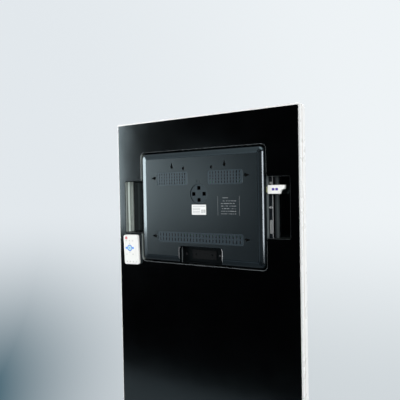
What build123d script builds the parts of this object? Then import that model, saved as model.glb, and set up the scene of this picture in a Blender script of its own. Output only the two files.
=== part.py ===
from build123d import *
import os
from math import cos, radians, sin

# Floor stand with a fifteen inch screen let into its panel.
# +Z is up, the screen shows towards -Y, and the open rear of the screen faces +Y.
# The origin is on the floor, under the middle of the base plate. All sizes are in millimetres.

# Stand
stand_height = 1700.0
rear_skin_t = 2.0
rear_board_t = 16.0
front_board_t = 22.0
front_skin_t = 3.0
skin_inset = 4.0
panel_corner_r = 2.5
edge_break = 0.6
top_margin = 88.5
base_side = 41.5
base_depth = 420.0
base_t = 12.0
base_corner_r = 24.0
base_edge = 1.5
glide_r = 19.0
glide_t = 4.0
glide_inset = 42.0

# Screws
base_screw_r = 4.0
base_screw_head_r = 8.0
base_screw_length = 36.0
base_screw_spacing = 190.0
insert_r = 6.0
insert_length = 20.0
board_screw_r = 2.5
board_screw_head_r = 4.8
board_screw_length = 30.0
board_screw_rows = 3
board_screw_end = 130.0
screw_end_gap = 1.0
screw_clearance = 0.1
seat_clearance = 0.3
screw_sides = 10

# Opening in the panel
recess_gap = 5.5
recess_corner_r = 13.0
recess_edge = 0.5
slot_reach = 60.0
slot_side = 25.5
slot_height = 151.0
slot_corner_r = 4.0
slot_junction_r = 5.0

# Screen housing, with depths counted from the rear face of the panel
case_side = 24.5
case_end = 23.5
back_corner_r = 12.0
back_crown = 3.5
back_bevel = 16.0
back_edge = 4.4
crown_corner_r = 3.0
side_depth = 20.0
side_flare = 4.5
cover_depth = 26.5
cover_flare = 13.0
cover_rim_t = 1.2
cover_wall = 2.5
frame_joint_step = 1.2
frame_joint_t = 2.5
frame_back_flare = 16.5
frame_flare = 26.5
frame_back_t = 5.0
frame_front_t = 2.0
frame_wall = 2.5
frame_gap = 1.5
active_width = 304.0
active_aspect = 0.75
lcd_side = 11.0
lcd_end = 12.5
lcd_t = 9.0
lcd_edge = 6.0
lcd_corner_r = 2.0
glass_t = 1.2
window_gap = 1.0
window_corner_r = 3.0
window_edge = 1.0
foam_width = 12.0
foam_gap = 8.0
chassis_t = 1.0
chassis_margin = 3.0

# Rear of the screen
foot_x = 3.5
disc_r = 25.5
disc_body_r = 22.0
disc_rise = 35.5
disc_flange_t = 1.4
disc_depth = 14.0
disc_sink = 1.5
disc_floor = 2.0
disc_hole = 10.0
disc_hole_radius = 16.0
disc_clearance = 0.3
disc_groove = 0.8
latch_mark_length = 8.0
latch_mark_width = 1.4
latch_mark_gap = 9.0
latch_mark_depth = 1.0
label_width = 44.0
label_height = 27.0
label_t = 0.3
label_corner_r = 1.5
label_drop = 6.5
top_keyhole_y = 110.0
side_keyhole_gap = 8.5
side_keyhole_y = 81.0
keyhole_r = 4.2
keyhole_slot = 4.0
keyhole_length = 10.0
vent_inner_x = 31.0
vent_side = 55.5
vent_height = 37.0
vent_rise = 78.0
low_vent_height = 29.0
low_vent_drop = 82.0
vent_corner_r = 6.0
vent_sink = 0.6
vent_border = 4.0
vent_slot_width = 2.8
vent_slot_height = 5.4
low_slot_height = 8.4
vent_columns = 11
vent_rows = 4
low_columns = 26
low_rows = 2
notch_width = 132.0
notch_height = 43.0
notch_depth = 19.0
notch_corner_r = 8.0
notch_edge = 2.0
latch_plate_width = 74.0
latch_plate_height = 24.0
latch_plate_shift = 4.0
latch_hole = 4.0
latch_plate_t = 1.5
well_x = 43.5
well_y = 105.0
well_r = 4.2
well_depth = 6.0
post_r = 6.5
case_screw_r = 1.5
case_screw_head_r = 2.9
case_screw_head_t = 2.0
low_screw_inset = 14.0

# Electronics and sockets
board_left = 60.0
board_side_gap = 1.5
board_low = 78.0
board_high = 74.0
board_t = 1.6
board_depth = 16.6
standoff_r = 3.0
standoff_inset = 8.0
chip_width = 28.0
chip_t = 1.8
usb_rise = 43.5
usb_height = 14.6
usb_t = 7.1
usb_length = 17.0
usb_mouth_height = 12.6
usb_mouth_t = 5.1
usb_tongue_t = 1.4
usb_tongue_length = 9.0
usb_back_t = 1.5
port_gap = 0.4
port_sink = 1.0
port_depth = 23.0
card_drop = 49.0
card_slot_length = 34.0
card_slot_t = 4.2
card_mouth_t = 2.2
reader_width = 24.0
reader_wall = 1.6
jack_rise = -1.0
jack_r = 2.9
jack_bore_r = 1.8
jack_length = 16.0
power_switch_rise = 60.0
switch_knob_length = 4.6
switch_knob_t = 3.0
switch_groove = 0.5
switch_travel = 4.0
switch_proud = 1.2
switch_case_length = 14.0
switch_case_width = 8.0
inlet_offset = 48.0
inlet_depth = 11.0
inlet_r = 4.2
inlet_bore_r = 2.9
inlet_pin_r = 0.8
inlet_length = 12.0
inlet_back_t = 2.0
speaker_width = 62.0
speaker_height = 36.0
speaker_t = 5.0
magnet_r = 15.0
magnet_t = 6.0
eye_r = 3.0
eye_t = 4.0

# Power lead channel in the boards
channel_width = 24.0
channel_depth = 12.0
outlet_z = 90.0
outlet_r = 15.0
grommet_bore_r = 9.0
grommet_rim = 3.0
grommet_rim_t = 2.0

# Memory stick
stick_length = 44.0
stick_height = 21.5
stick_t = 10.0
stick_neck_length = 3.6
stick_neck_height = 14.5
stick_neck_t = 7.4
stick_corner_r = 2.4
stick_cut = 12.0
stick_edge = 0.7
neck_gap = 0.3
neck_corner_r = 1.5
stick_depth = 13.0
plug_length = 12.0
plug_height = 12.0
plug_t = 4.5
plug_wall = 0.35
plug_core_t = 1.9

# Remote control
remote_width = 54.0
remote_height = 86.0
remote_t = 6.5
remote_corner_r = 6.0
remote_side = 24.0
remote_drop = 5.5
remote_tilt = 2.0
remote_floor = 0.8
remote_wall = 1.3
remote_top_t = 1.2
remote_split = 3.9
remote_edge = 0.6
pad_width = 34.0
pad_height = 50.0
pad_t = 1.0
pad_corner_r = 2.0
key_r = 3.0
key_sides = 16
power_key_r = 4.0
ok_key_r = 6.0
key_proud = 0.6
key_rest = 0.4
key_clearance = 0.2
key_travel = 0.35
key_pitch = 11.5
key_first_x = -16.5
power_key_y = 34.0
upper_keys_y = 25.5
ok_key_y = 4.5
middle_keys_y = -14.0
lower_keys_y = -35.5
ok_reach = 12.5
remote_board_t = 0.6
remote_post = 3.0
post_inset = 15.0
board_gap = 0.5
board_corner_r = 4.0
tray_width = 23.6
tray_length = 26.0
tray_gap = 0.15
tray_lip_t = 2.0
cell_r = 10.0
cell_t = 2.5
window_width = 8.0
window_height = 1.3

# Places that follow from the sizes above
panel_t = rear_skin_t + rear_board_t + front_board_t + front_skin_t
rear_y = panel_t / 2
base_top = glide_t + base_t
active_height = active_aspect * active_width
lcd_width = active_width + 2 * lcd_side
lcd_height = active_height + 2 * lcd_end
back_width = lcd_width + 2 * case_side
back_height = lcd_height + 2 * case_end
board_height = stand_height - base_top
recess_width = back_width + 2 * recess_gap
recess_height = back_height + 2 * recess_gap
slot_half = recess_width / 2 + slot_reach
panel_width = 2 * (slot_half + slot_side)
base_width = panel_width + 2 * base_side
screen_z = stand_height - top_margin - recess_height / 2
board_centre = (stand_height + base_top) / 2 - screen_z
skin_width = panel_width - 2 * skin_inset
skin_height = board_height - skin_inset
skin_centre = board_centre - skin_inset / 2
front_board_depth = rear_skin_t + rear_board_t
front_skin_depth = front_board_depth + front_board_t
frame_flange_depth = cover_depth + frame_joint_t
frame_edge_depth = frame_flange_depth + frame_back_t
frame_front_depth = frame_edge_depth + frame_front_t
lcd_depth = frame_front_depth - frame_wall - lcd_t
eye_drop = active_height / 2 + lcd_edge
chassis_depth = lcd_depth - chassis_t
board_front = board_depth + board_t
cover_inner_depth = cover_wall - back_crown
disc_face = disc_sink - back_crown
low_vent_width = back_width - 2 * vent_side
vent_width = low_vent_width / 2 - vent_inner_x
vent_x = vent_inner_x + vent_width / 2
side_keyhole_x = low_vent_width / 2 + side_keyhole_gap
board_right = back_width / 2 - board_side_gap
switch_middle = power_switch_rise - switch_travel / 2
switch_slot_length = switch_knob_length + switch_travel + 2 * port_gap
remote_x = remote_side + remote_width / 2 - panel_width / 2
remote_y = -slot_height / 2 - remote_drop - remote_height / 2
remote_back = 2 * pad_t
remote_front = remote_back + remote_t
remote_inner_top = remote_front - remote_top_t
key_columns = [key_first_x + key_pitch * i for i in range(4)]

rear = Plane(origin=(0, rear_y, screen_z), x_dir=(-1, 0, 0), z_dir=(0, 1, 0))
remote_face = Plane(
    origin=(-remote_x, rear_y, screen_z + remote_y),
    x_dir=(-cos(radians(remote_tilt)), 0, sin(radians(remote_tilt))),
    z_dir=(0, 1, 0),
)

os.makedirs("parts", exist_ok=True)


def depth(t):
    """Plane parallel to the rear face of the panel, t deep in it, with x to the viewer's right."""
    return rear.offset(-t)


def side(reach, rise, t):
    """Plane that looks out of the side of the screen: x runs deeper, y runs up."""
    return Plane(origin=(-reach, rear_y - t, screen_z + rise), x_dir=(0, -1, 0), z_dir=(-1, 0, 0))


def opening_profile(width, height, corner_r, reach):
    """Rounded opening for the screen with a slot to either side, in the current sketch."""
    RectangleRounded(width, height, corner_r)
    Rectangle(2 * reach, slot_height)
    corners = vertices().filter_by(lambda v: abs(abs(v.Y) - slot_height / 2) < 0.01)
    fillet(corners.filter_by(lambda v: abs(abs(v.X) - reach) < 0.01), slot_corner_r)
    corners = vertices().filter_by(lambda v: abs(abs(v.Y) - slot_height / 2) < 0.01)
    fillet(corners.filter_by(lambda v: abs(abs(v.X) - width / 2) < 0.01), slot_junction_r)


def keep(part, label):
    """Labels a finished piece and writes it to its own file."""
    part.label = label
    export_step(part, "parts/" + label + ".step")


def screw_round(radius, spots):
    """Many-sided outlines, in the current sketch, that stand for round shanks, heads or bores."""
    with Locations(*spots):
        RegularPolygon(radius, screw_sides)


# Places of the screws that hold the boards together
screw_column = (panel_width / 2 + slot_half) / 2
lowest_screw = board_centre - board_height / 2 + board_screw_end
screw_pitch = (board_height - 2 * board_screw_end) / (board_screw_rows - 1)
screw_rows = [lowest_screw + i * screw_pitch for i in range(board_screw_rows)]
board_screw_spots = [(x, v) for x in (-screw_column, screw_column) for v in screw_rows]
base_screw_spots = [
    (i * base_screw_spacing, y)
    for y in (rear_y - rear_skin_t - rear_board_t / 2, -rear_y + front_skin_t + front_board_t / 2)
    for i in (-1, 1)
]

# Base plate of steel, with a softened upper edge and countersunk holes from below
with BuildPart() as base_plate:
    with BuildSketch(Plane.XY.offset(glide_t)):
        RectangleRounded(base_width, base_depth, base_corner_r)
    extrude(amount=base_t)
    chamfer(base_plate.faces().sort_by(Axis.Z)[-1].edges(), base_edge)
    with BuildSketch(Plane.XY.offset(glide_t)):
        screw_round(base_screw_r + screw_clearance, base_screw_spots)
    extrude(amount=base_t, mode=Mode.SUBTRACT)
    with BuildSketch(Plane.XY.offset(glide_t)):
        screw_round(base_screw_head_r + screw_clearance, base_screw_spots)
    extrude(amount=base_screw_head_r - base_screw_r, taper=45, mode=Mode.SUBTRACT)
keep(base_plate.part, "base_plate")

# Round glides under the base plate
with BuildPart() as base_glides:
    with BuildSketch():
        with GridLocations(base_width - 2 * glide_inset, base_depth - 2 * glide_inset, 2, 2):
            Circle(glide_r)
    extrude(amount=glide_t)
keep(base_glides.part, "base_glides")

# Screws that come up through the base plate into the boards
with BuildPart() as base_screws:
    with BuildSketch(Plane.XY.offset(glide_t)):
        screw_round(base_screw_head_r, base_screw_spots)
    extrude(amount=base_screw_head_r - base_screw_r, taper=45)
    with BuildSketch(Plane.XY.offset(glide_t)):
        screw_round(base_screw_r, base_screw_spots)
    extrude(amount=base_screw_length)
keep(base_screws.part, "base_screws")

# Threaded inserts in the lower edges of the boards
with BuildPart() as base_inserts:
    with BuildSketch(Plane.XY.offset(base_top)):
        screw_round(insert_r, base_screw_spots)
    extrude(amount=insert_length)
    with BuildSketch(Plane.XY.offset(base_top)):
        screw_round(base_screw_r + screw_clearance, base_screw_spots)
    extrude(amount=insert_length, mode=Mode.SUBTRACT)
keep(base_inserts.part, "base_inserts")

# Rear board: it carries the opening, the side slots and the outlet of the power lead
with BuildPart() as rear_board:
    with BuildSketch(depth(rear_skin_t)):
        with Locations((0, board_centre)):
            RectangleRounded(panel_width, board_height, panel_corner_r)
    extrude(amount=-rear_board_t)
    chamfer(rear_board.faces().sort_by(Axis.Y)[0].outer_wire().edges(), edge_break)
    with BuildSketch(depth(rear_skin_t)):
        opening_profile(recess_width, recess_height, recess_corner_r, slot_half)
    extrude(amount=-rear_board_t, mode=Mode.SUBTRACT)
    with BuildSketch(depth(0)):
        with Locations((0, outlet_z - screen_z)):
            Circle(outlet_r + seat_clearance)
    extrude(amount=-front_board_depth, mode=Mode.SUBTRACT)
    with BuildSketch(depth(front_board_depth)):
        screw_round(board_screw_r + screw_clearance, board_screw_spots)
    extrude(amount=board_screw_length - front_board_t + screw_end_gap, mode=Mode.SUBTRACT)
    with BuildSketch(Plane.XY.offset(base_top)):
        screw_round(insert_r + screw_clearance, base_screw_spots[:2])
    extrude(amount=insert_length + seat_clearance, mode=Mode.SUBTRACT)
    with BuildSketch(Plane.XY.offset(base_top)):
        screw_round(base_screw_r + screw_clearance, base_screw_spots[:2])
    extrude(amount=base_screw_length, mode=Mode.SUBTRACT)
keep(rear_board.part, "rear_board")

# Front board: the same slots, a ledge for the screen's frame, and the lead's channel
ledge_width = back_width + 2 * (frame_back_flare + frame_gap)
ledge_height = back_height + 2 * (frame_back_flare + frame_gap)
ledge_slope = frame_back_t / (frame_flare - frame_back_flare)
ledge_depth = frame_flange_depth + frame_gap * ledge_slope - seat_clearance
pocket_width = back_width + 2 * (frame_flare + frame_gap)
pocket_height = back_height + 2 * (frame_flare + frame_gap)
channel_top = frame_gap - ledge_height / 2
channel_low = outlet_z - outlet_r - screen_z
with BuildPart() as front_board:
    with BuildSketch(depth(front_board_depth)):
        with Locations((0, board_centre)):
            RectangleRounded(panel_width, board_height, panel_corner_r)
    extrude(amount=-front_board_t)
    chamfer(front_board.faces().sort_by(Axis.Y)[-1].outer_wire().edges(), edge_break)
    with BuildSketch(depth(front_board_depth)):
        opening_profile(ledge_width, ledge_height, recess_corner_r + frame_back_flare, slot_half)
    extrude(amount=-front_board_t, mode=Mode.SUBTRACT)
    with BuildSketch(depth(ledge_depth)):
        RectangleRounded(pocket_width, pocket_height, back_corner_r + frame_flare)
    extrude(amount=-(front_skin_depth - ledge_depth), mode=Mode.SUBTRACT)
    with BuildSketch(depth(front_board_depth)):
        with Locations((0, (channel_top + channel_low) / 2)):
            Rectangle(channel_width, channel_top - channel_low)
    extrude(amount=-channel_depth, mode=Mode.SUBTRACT)
    with BuildSketch(depth(front_board_depth)):
        screw_round(board_screw_r + screw_clearance, board_screw_spots)
    extrude(amount=-front_board_t, mode=Mode.SUBTRACT)
    with BuildSketch(depth(front_skin_depth)):
        screw_round(board_screw_head_r + screw_clearance, board_screw_spots)
    extrude(amount=board_screw_head_r - board_screw_r, taper=45, mode=Mode.SUBTRACT)
    with BuildSketch(Plane.XY.offset(base_top)):
        screw_round(insert_r + screw_clearance, base_screw_spots[2:])
    extrude(amount=insert_length + seat_clearance, mode=Mode.SUBTRACT)
    with BuildSketch(Plane.XY.offset(base_top)):
        screw_round(base_screw_r + screw_clearance, base_screw_spots[2:])
    extrude(amount=base_screw_length, mode=Mode.SUBTRACT)
keep(front_board.part, "front_board")

# Screws that draw the two boards together, hidden by the front sheet
with BuildPart() as board_screws:
    with BuildSketch(depth(front_skin_depth)):
        screw_round(board_screw_head_r, board_screw_spots)
    extrude(amount=board_screw_head_r - board_screw_r, taper=45)
    with BuildSketch(depth(front_skin_depth)):
        screw_round(board_screw_r, board_screw_spots)
    extrude(amount=board_screw_length)
keep(board_screws.part, "board_screws")

# Glossy rear sheet, set in from the edge of the board, its opening softly broken
with BuildPart() as rear_skin:
    with BuildSketch(depth(rear_skin_t)):
        with Locations((0, skin_centre)):
            Rectangle(skin_width, skin_height)
    extrude(amount=rear_skin_t)
    with BuildSketch(depth(rear_skin_t)):
        opening_profile(recess_width, recess_height, recess_corner_r, slot_half)
    extrude(amount=rear_skin_t, mode=Mode.SUBTRACT)
    chamfer(rear_skin.faces().sort_by(Axis.Y)[-1].inner_wires().edges(), recess_edge)
    with BuildSketch(depth(rear_skin_t)):
        with Locations((0, outlet_z - screen_z)):
            Circle(outlet_r + seat_clearance)
    extrude(amount=rear_skin_t, mode=Mode.SUBTRACT)
keep(rear_skin.part, "rear_skin")

# Front sheet with the window of the screen
front_window_width = lcd_width + 2 * window_gap
front_window_height = lcd_height + 2 * window_gap
with BuildPart() as front_skin:
    with BuildSketch(depth(front_skin_depth)):
        with Locations((0, skin_centre)):
            Rectangle(skin_width, skin_height)
        RectangleRounded(front_window_width, front_window_height, window_corner_r, mode=Mode.SUBTRACT)
    extrude(amount=-front_skin_t)
    chamfer(front_skin.faces().sort_by(Axis.Y)[0].inner_wires().edges(), window_edge)
keep(front_skin.part, "front_skin")

# Foam strips between the screen's frame and the front sheet
foam_x = (front_window_width + foam_width) / 2 + foam_gap
foam_y = (front_window_height + foam_width) / 2 + foam_gap
with BuildPart() as foam_strips:
    with BuildSketch(depth(frame_front_depth)):
        with Locations((-foam_x, 0), (foam_x, 0)):
            Rectangle(foam_width, front_window_height)
        with Locations((0, -foam_y), (0, foam_y)):
            Rectangle(front_window_width, foam_width)
    extrude(amount=-(front_skin_depth - frame_front_depth))
keep(foam_strips.part, "foam_strips")

# Rubber grommet where the power lead leaves the panel
with BuildPart() as cable_grommet:
    with BuildSketch(Plane(origin=(0, rear_y, outlet_z), x_dir=(1, 0, 0), z_dir=(0, 0, 1))):
        with BuildLine():
            Polyline(
                (grommet_bore_r, grommet_rim_t),
                (outlet_r + grommet_rim / 2, grommet_rim_t),
                (outlet_r + grommet_rim, 0),
                (outlet_r, 0),
                (outlet_r, -front_board_depth),
                (grommet_bore_r, -front_board_depth),
                close=True,
            )
        make_face()
    revolve(axis=Axis((0, rear_y, outlet_z), (0, 1, 0)))
keep(cable_grommet.part, "cable_grommet")


def housing_section(t, flare, corner_r):
    """Rounded outline of the screen housing, t deep and flared past its rear edge."""
    with BuildSketch(depth(t)) as section:
        RectangleRounded(back_width + 2 * flare, back_height + 2 * flare, corner_r)
    return section.sketch


def keyhole(x, y, turn):
    """Keyhole of a wall hook: a round end and a narrow neck that points along turn."""
    with Locations(Location((x, y, 0), (0, 0, turn))):
        Circle(keyhole_r)
        with Locations((0, keyhole_length / 2)):
            SlotOverall(keyhole_length, keyhole_slot, rotation=90)


def vent_field(x, y, width, height, slot_height, columns, rows):
    """Rows of upright vent slots that fill a field."""
    pitch_x = (width - 2 * vent_border) / columns
    pitch_y = (height - vent_border) / rows
    with Locations((x, y)):
        with GridLocations(pitch_x, pitch_y, columns, rows):
            Rectangle(vent_slot_width, slot_height)


def vent_panels():
    """The three sunk fields of vents: two above, one long one below."""
    with Locations((-vent_x, vent_rise), (vent_x, vent_rise)):
        RectangleRounded(vent_width, vent_height, vent_corner_r)
    with Locations((0, -low_vent_drop)):
        RectangleRounded(low_vent_width, low_vent_height, vent_corner_r)


screw_wells = [(-well_x, well_y), (well_x, well_y)]
notch_centre = -back_height / 2 + notch_height / 2
low_screw_x = notch_width / 2 - low_screw_inset
low_wells = [(foot_x - low_screw_x, notch_centre), (foot_x + low_screw_x, notch_centre)]
inlet_z = screen_z + notch_centre + notch_height / 2
inlet_plane = Plane(origin=(-foot_x - inlet_offset, rear_y - inlet_depth, inlet_z))

# Rear cover of the screen: a crowned tray whose flared side carries the sockets
inner_flare = side_flare - cover_wall
rim_flare = cover_flare - 1.3 * cover_wall
with BuildPart() as back_cover:
    outer = [
        housing_section(-back_crown, -back_bevel, crown_corner_r),
        housing_section(-back_crown * back_edge / back_bevel, -back_edge, back_corner_r - back_edge / 2),
        housing_section(back_edge / 6, -back_edge / 6, back_corner_r),
        housing_section(back_edge, side_flare * back_edge / side_depth, back_corner_r + side_flare / 2),
        housing_section(side_depth, side_flare, back_corner_r + side_flare),
        housing_section(cover_depth - cover_rim_t, cover_flare, back_corner_r + cover_flare),
        housing_section(cover_depth, cover_flare, back_corner_r + cover_flare),
    ]
    loft(outer, ruled=True)
    inner = [
        housing_section(cover_inner_depth, -back_bevel, crown_corner_r),
        housing_section(cover_wall, -cover_wall, back_corner_r - cover_wall),
        housing_section(side_depth + cover_wall / 3, inner_flare, back_corner_r + inner_flare),
        housing_section(cover_depth, rim_flare, back_corner_r + rim_flare),
    ]
    loft(inner, ruled=True, mode=Mode.SUBTRACT)
    # bosses for the case screws, the socket of the desk foot and the walls of the notch
    with BuildSketch(depth(cover_inner_depth)):
        screw_round(post_r, screw_wells + low_wells)
    extrude(amount=-(chassis_depth - cover_inner_depth))
    with BuildSketch(depth(cover_inner_depth)):
        with Locations((foot_x, disc_rise)):
            Circle(disc_r + disc_groove + cover_wall)
    extrude(amount=-(disc_face + disc_flange_t + cover_wall - cover_inner_depth))
    with BuildSketch(depth(cover_inner_depth)):
        with Locations((foot_x, disc_rise)):
            Circle(disc_body_r + disc_clearance + cover_wall)
    extrude(amount=-(disc_face + disc_depth + cover_wall - cover_inner_depth))
    with BuildSketch(depth(cover_inner_depth)):
        with Locations((foot_x, notch_centre)):
            Rectangle(notch_width + 2 * cover_wall, notch_height + 2 * cover_wall)
        with Locations((foot_x, -back_height / 2 - notch_height / 2 + cover_wall / 2)):
            Rectangle(notch_width + 4 * cover_wall, notch_height, mode=Mode.SUBTRACT)
    extrude(amount=-(notch_depth - back_crown + cover_wall - cover_inner_depth))
    # sunk vent fields, keyholes, latch marks
    with BuildSketch(depth(-back_crown)):
        vent_panels()
    extrude(amount=-vent_sink, mode=Mode.SUBTRACT)
    with BuildSketch(depth(-back_crown)):
        for x in (-vent_x, vent_x):
            vent_field(x, vent_rise, vent_width, vent_height, vent_slot_height, vent_columns, vent_rows)
            keyhole(x, top_keyhole_y, 0)
        vent_field(0, -low_vent_drop, low_vent_width, low_vent_height, low_slot_height, low_columns, low_rows)
        for y in (-side_keyhole_y, side_keyhole_y):
            keyhole(-side_keyhole_x, y, 90)
            keyhole(side_keyhole_x, y, -90)
    extrude(amount=-cover_wall - seat_clearance, mode=Mode.SUBTRACT)
    with BuildSketch(depth(-back_crown)):
        with Locations((foot_x, disc_rise + disc_r + latch_mark_length)):
            with GridLocations(latch_mark_gap, 1, 2, 1):
                Rectangle(latch_mark_width, latch_mark_length)
    extrude(amount=-latch_mark_depth, mode=Mode.SUBTRACT)
    # wells and bores of the case screws
    with BuildSketch(depth(-back_crown)):
        with Locations(*screw_wells):
            Circle(well_r)
    extrude(amount=-well_depth, mode=Mode.SUBTRACT)
    with BuildSketch(depth(-back_crown)):
        screw_round(case_screw_r + screw_clearance, screw_wells + low_wells)
    extrude(amount=-(chassis_depth + back_crown), mode=Mode.SUBTRACT)
    # seat of the socket disc
    with BuildSketch(depth(-back_crown)):
        with Locations((foot_x, disc_rise)):
            Circle(disc_r + disc_groove)
    extrude(amount=-disc_sink - disc_flange_t, mode=Mode.SUBTRACT)
    with BuildSketch(depth(-back_crown)):
        with Locations((foot_x, disc_rise)):
            Circle(disc_body_r + disc_clearance)
    extrude(amount=-disc_sink - disc_depth, mode=Mode.SUBTRACT)
    # notch for the desk foot, open downwards
    with BuildSketch(depth(-back_crown)):
        with Locations((foot_x, notch_centre)):
            Rectangle(notch_width, notch_height)
        with Locations((foot_x, -back_height / 2 - notch_height / 2)):
            Rectangle(notch_width, notch_height)
        fillet(vertices().group_by(Axis.Y)[-1], notch_corner_r)
    extrude(amount=-notch_depth, mode=Mode.SUBTRACT)
    with BuildSketch(depth(-back_crown)):
        with Locations((foot_x, notch_centre - back_height / 2)):
            Rectangle(notch_width + 2 * notch_edge, notch_height + back_height + 2 * notch_edge)
        fillet(vertices().group_by(Axis.Y)[-1], notch_corner_r + notch_edge)
    extrude(amount=-notch_edge, taper=45, mode=Mode.SUBTRACT)
    # inlet in the upper wall of the notch
    with BuildSketch(inlet_plane.offset(-screw_end_gap)):
        Circle(inlet_r + port_gap / 2)
    extrude(amount=cover_wall + 2 * screw_end_gap, mode=Mode.SUBTRACT)
    # openings in the side for the stick, the cards, the jack and the power switch
    reach = back_width / 2
    with BuildSketch(side(reach, usb_rise, stick_depth)):
        Rectangle(usb_t + 2 * port_gap, usb_height + 2 * port_gap)
    extrude(amount=2 * cover_flare, both=True, mode=Mode.SUBTRACT)
    with BuildSketch(side(reach, -card_drop, port_depth)):
        Rectangle(card_slot_t, card_slot_length)
    extrude(amount=2 * cover_flare, both=True, mode=Mode.SUBTRACT)
    with BuildSketch(side(reach, jack_rise, port_depth)):
        Circle(jack_r + port_gap / 2)
    extrude(amount=2 * cover_flare, both=True, mode=Mode.SUBTRACT)
    with BuildSketch(side(reach, switch_middle, port_depth)):
        Rectangle(switch_knob_t + 2 * port_gap, switch_slot_length)
    extrude(amount=2 * cover_flare, both=True, mode=Mode.SUBTRACT)
keep(back_cover.part, "back_cover")

# Front frame of the screen: a shadow joint behind, a flared edge and the bezel
with BuildPart() as front_frame:
    joint_flare = cover_flare - frame_joint_step
    extrude(housing_section(cover_depth, joint_flare, back_corner_r + joint_flare), amount=-frame_joint_t)
    flange = housing_section(frame_flange_depth, frame_back_flare, back_corner_r + frame_back_flare)
    edge = housing_section(frame_edge_depth, frame_flare, back_corner_r + frame_flare)
    loft([flange, edge], ruled=True)
    extrude(edge, amount=-frame_front_t)
    inside = housing_section(cover_depth, joint_flare - frame_wall, back_corner_r + joint_flare - frame_wall)
    extrude(inside, amount=-(frame_front_depth - frame_wall - cover_depth), mode=Mode.SUBTRACT)
    with BuildSketch(depth(frame_front_depth)):
        RectangleRounded(active_width + 2 * window_gap, active_height + 2 * window_gap, lcd_corner_r)
    extrude(amount=frame_wall, mode=Mode.SUBTRACT)
    with BuildSketch(depth(frame_front_depth)):
        with Locations((0, -eye_drop)):
            Circle(eye_r + port_gap / 2)
    extrude(amount=frame_wall, mode=Mode.SUBTRACT)
keep(front_frame.part, "front_frame")

# Display module: a metal pan with the glass in its front
with BuildPart() as lcd_module:
    with BuildSketch(depth(lcd_depth)):
        RectangleRounded(lcd_width, lcd_height, lcd_corner_r)
    extrude(amount=-lcd_t)
    with BuildSketch(depth(lcd_depth + lcd_t)):
        Rectangle(lcd_width - 2 * lcd_edge, lcd_height - 2 * lcd_edge)
    extrude(amount=glass_t, mode=Mode.SUBTRACT)
    with BuildSketch(depth(lcd_depth + lcd_t)):
        with Locations((0, -eye_drop)):
            Circle(eye_r + port_gap)
    extrude(amount=eye_t + port_gap, mode=Mode.SUBTRACT)
keep(lcd_module.part, "lcd_module")

# Glass of the display
with BuildPart() as screen_glass:
    with BuildSketch(depth(lcd_depth + lcd_t)):
        Rectangle(lcd_width - 2 * lcd_edge, lcd_height - 2 * lcd_edge)
        with Locations((0, -eye_drop)):
            Circle(eye_r + 2 * port_gap, mode=Mode.SUBTRACT)
    extrude(amount=glass_t)
keep(screen_glass.part, "screen_glass")

# Eye of the remote receiver, in the lower bezel
with BuildPart() as receiver_eye:
    with BuildSketch(depth(lcd_depth + lcd_t - eye_t)):
        with Locations((0, -eye_drop)):
            Circle(eye_r)
    extrude(amount=-(eye_t + frame_wall))
keep(receiver_eye.part, "receiver_eye")

# Steel plate behind the display, which carries the electronics
with BuildPart() as chassis_plate:
    with BuildSketch(depth(chassis_depth)):
        Rectangle(lcd_width - 2 * chassis_margin, lcd_height - 2 * chassis_margin)
    extrude(amount=-chassis_t)
    with BuildSketch(depth(chassis_depth)):
        screw_round(case_screw_r + screw_clearance, screw_wells + low_wells)
    extrude(amount=-chassis_t, mode=Mode.SUBTRACT)
keep(chassis_plate.part, "chassis_plate")

# Main board on its standoffs
standoffs = [
    (x, y)
    for x in (standoff_inset - board_left, board_right - reader_width - standoff_inset)
    for y in (standoff_inset - board_low, board_high - standoff_inset)
]
with BuildPart() as main_board:
    with BuildSketch(depth(board_depth)):
        with Locations(((board_right - board_left) / 2, (board_high - board_low) / 2)):
            Rectangle(board_right + board_left, board_high + board_low)
    extrude(amount=-board_t)
    with BuildSketch(depth(board_depth)):
        with Locations((board_right / 3, 0)):
            Rectangle(chip_width, chip_width)
        with Locations((board_right / 2, 0)):
            with GridLocations(1, chip_width, 1, 2):
                Rectangle(chip_width / 2, chip_width / 2)
    extrude(amount=chip_t)
keep(main_board.part, "main_board")

# Six-sided standoffs between the main board and the steel plate
with BuildPart() as board_standoffs:
    with BuildSketch(depth(board_front)):
        with Locations(*standoffs):
            RegularPolygon(standoff_r, 6)
    extrude(amount=-(chassis_depth - board_front))
keep(board_standoffs.part, "board_standoffs")

# Speakers behind the upper vents
with BuildPart() as speakers:
    with BuildSketch(depth(cover_inner_depth)):
        with Locations((-vent_x, vent_rise), (vent_x, vent_rise)):
            Rectangle(speaker_width, speaker_height)
    extrude(amount=-speaker_t)
    with BuildSketch(depth(cover_inner_depth + speaker_t)):
        with Locations((-vent_x, vent_rise), (vent_x, vent_rise)):
            Circle(magnet_r)
    extrude(amount=-magnet_t)
keep(speakers.part, "speakers")

# The stick's port in the side of the screen, with its tongue
port_face = back_width / 2 + side_flare * stick_depth / side_depth - port_sink
tongue_depth = stick_depth - (plug_t - 2 * plug_wall) / 4
with BuildPart() as usb_port:
    with BuildSketch(side(port_face - usb_length, usb_rise, stick_depth)):
        Rectangle(usb_t, usb_height)
    extrude(amount=usb_length)
    with BuildSketch(side(port_face, usb_rise, stick_depth)):
        Rectangle(usb_mouth_t, usb_mouth_height)
    extrude(amount=usb_back_t - usb_length, mode=Mode.SUBTRACT)
    with BuildSketch(side(port_face - usb_length + usb_back_t, usb_rise, tongue_depth)):
        Rectangle(usb_tongue_t, plug_height - 6 * plug_wall)
    extrude(amount=usb_length - usb_back_t - (plug_length - usb_tongue_length))
keep(usb_port.part, "usb_port")

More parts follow.
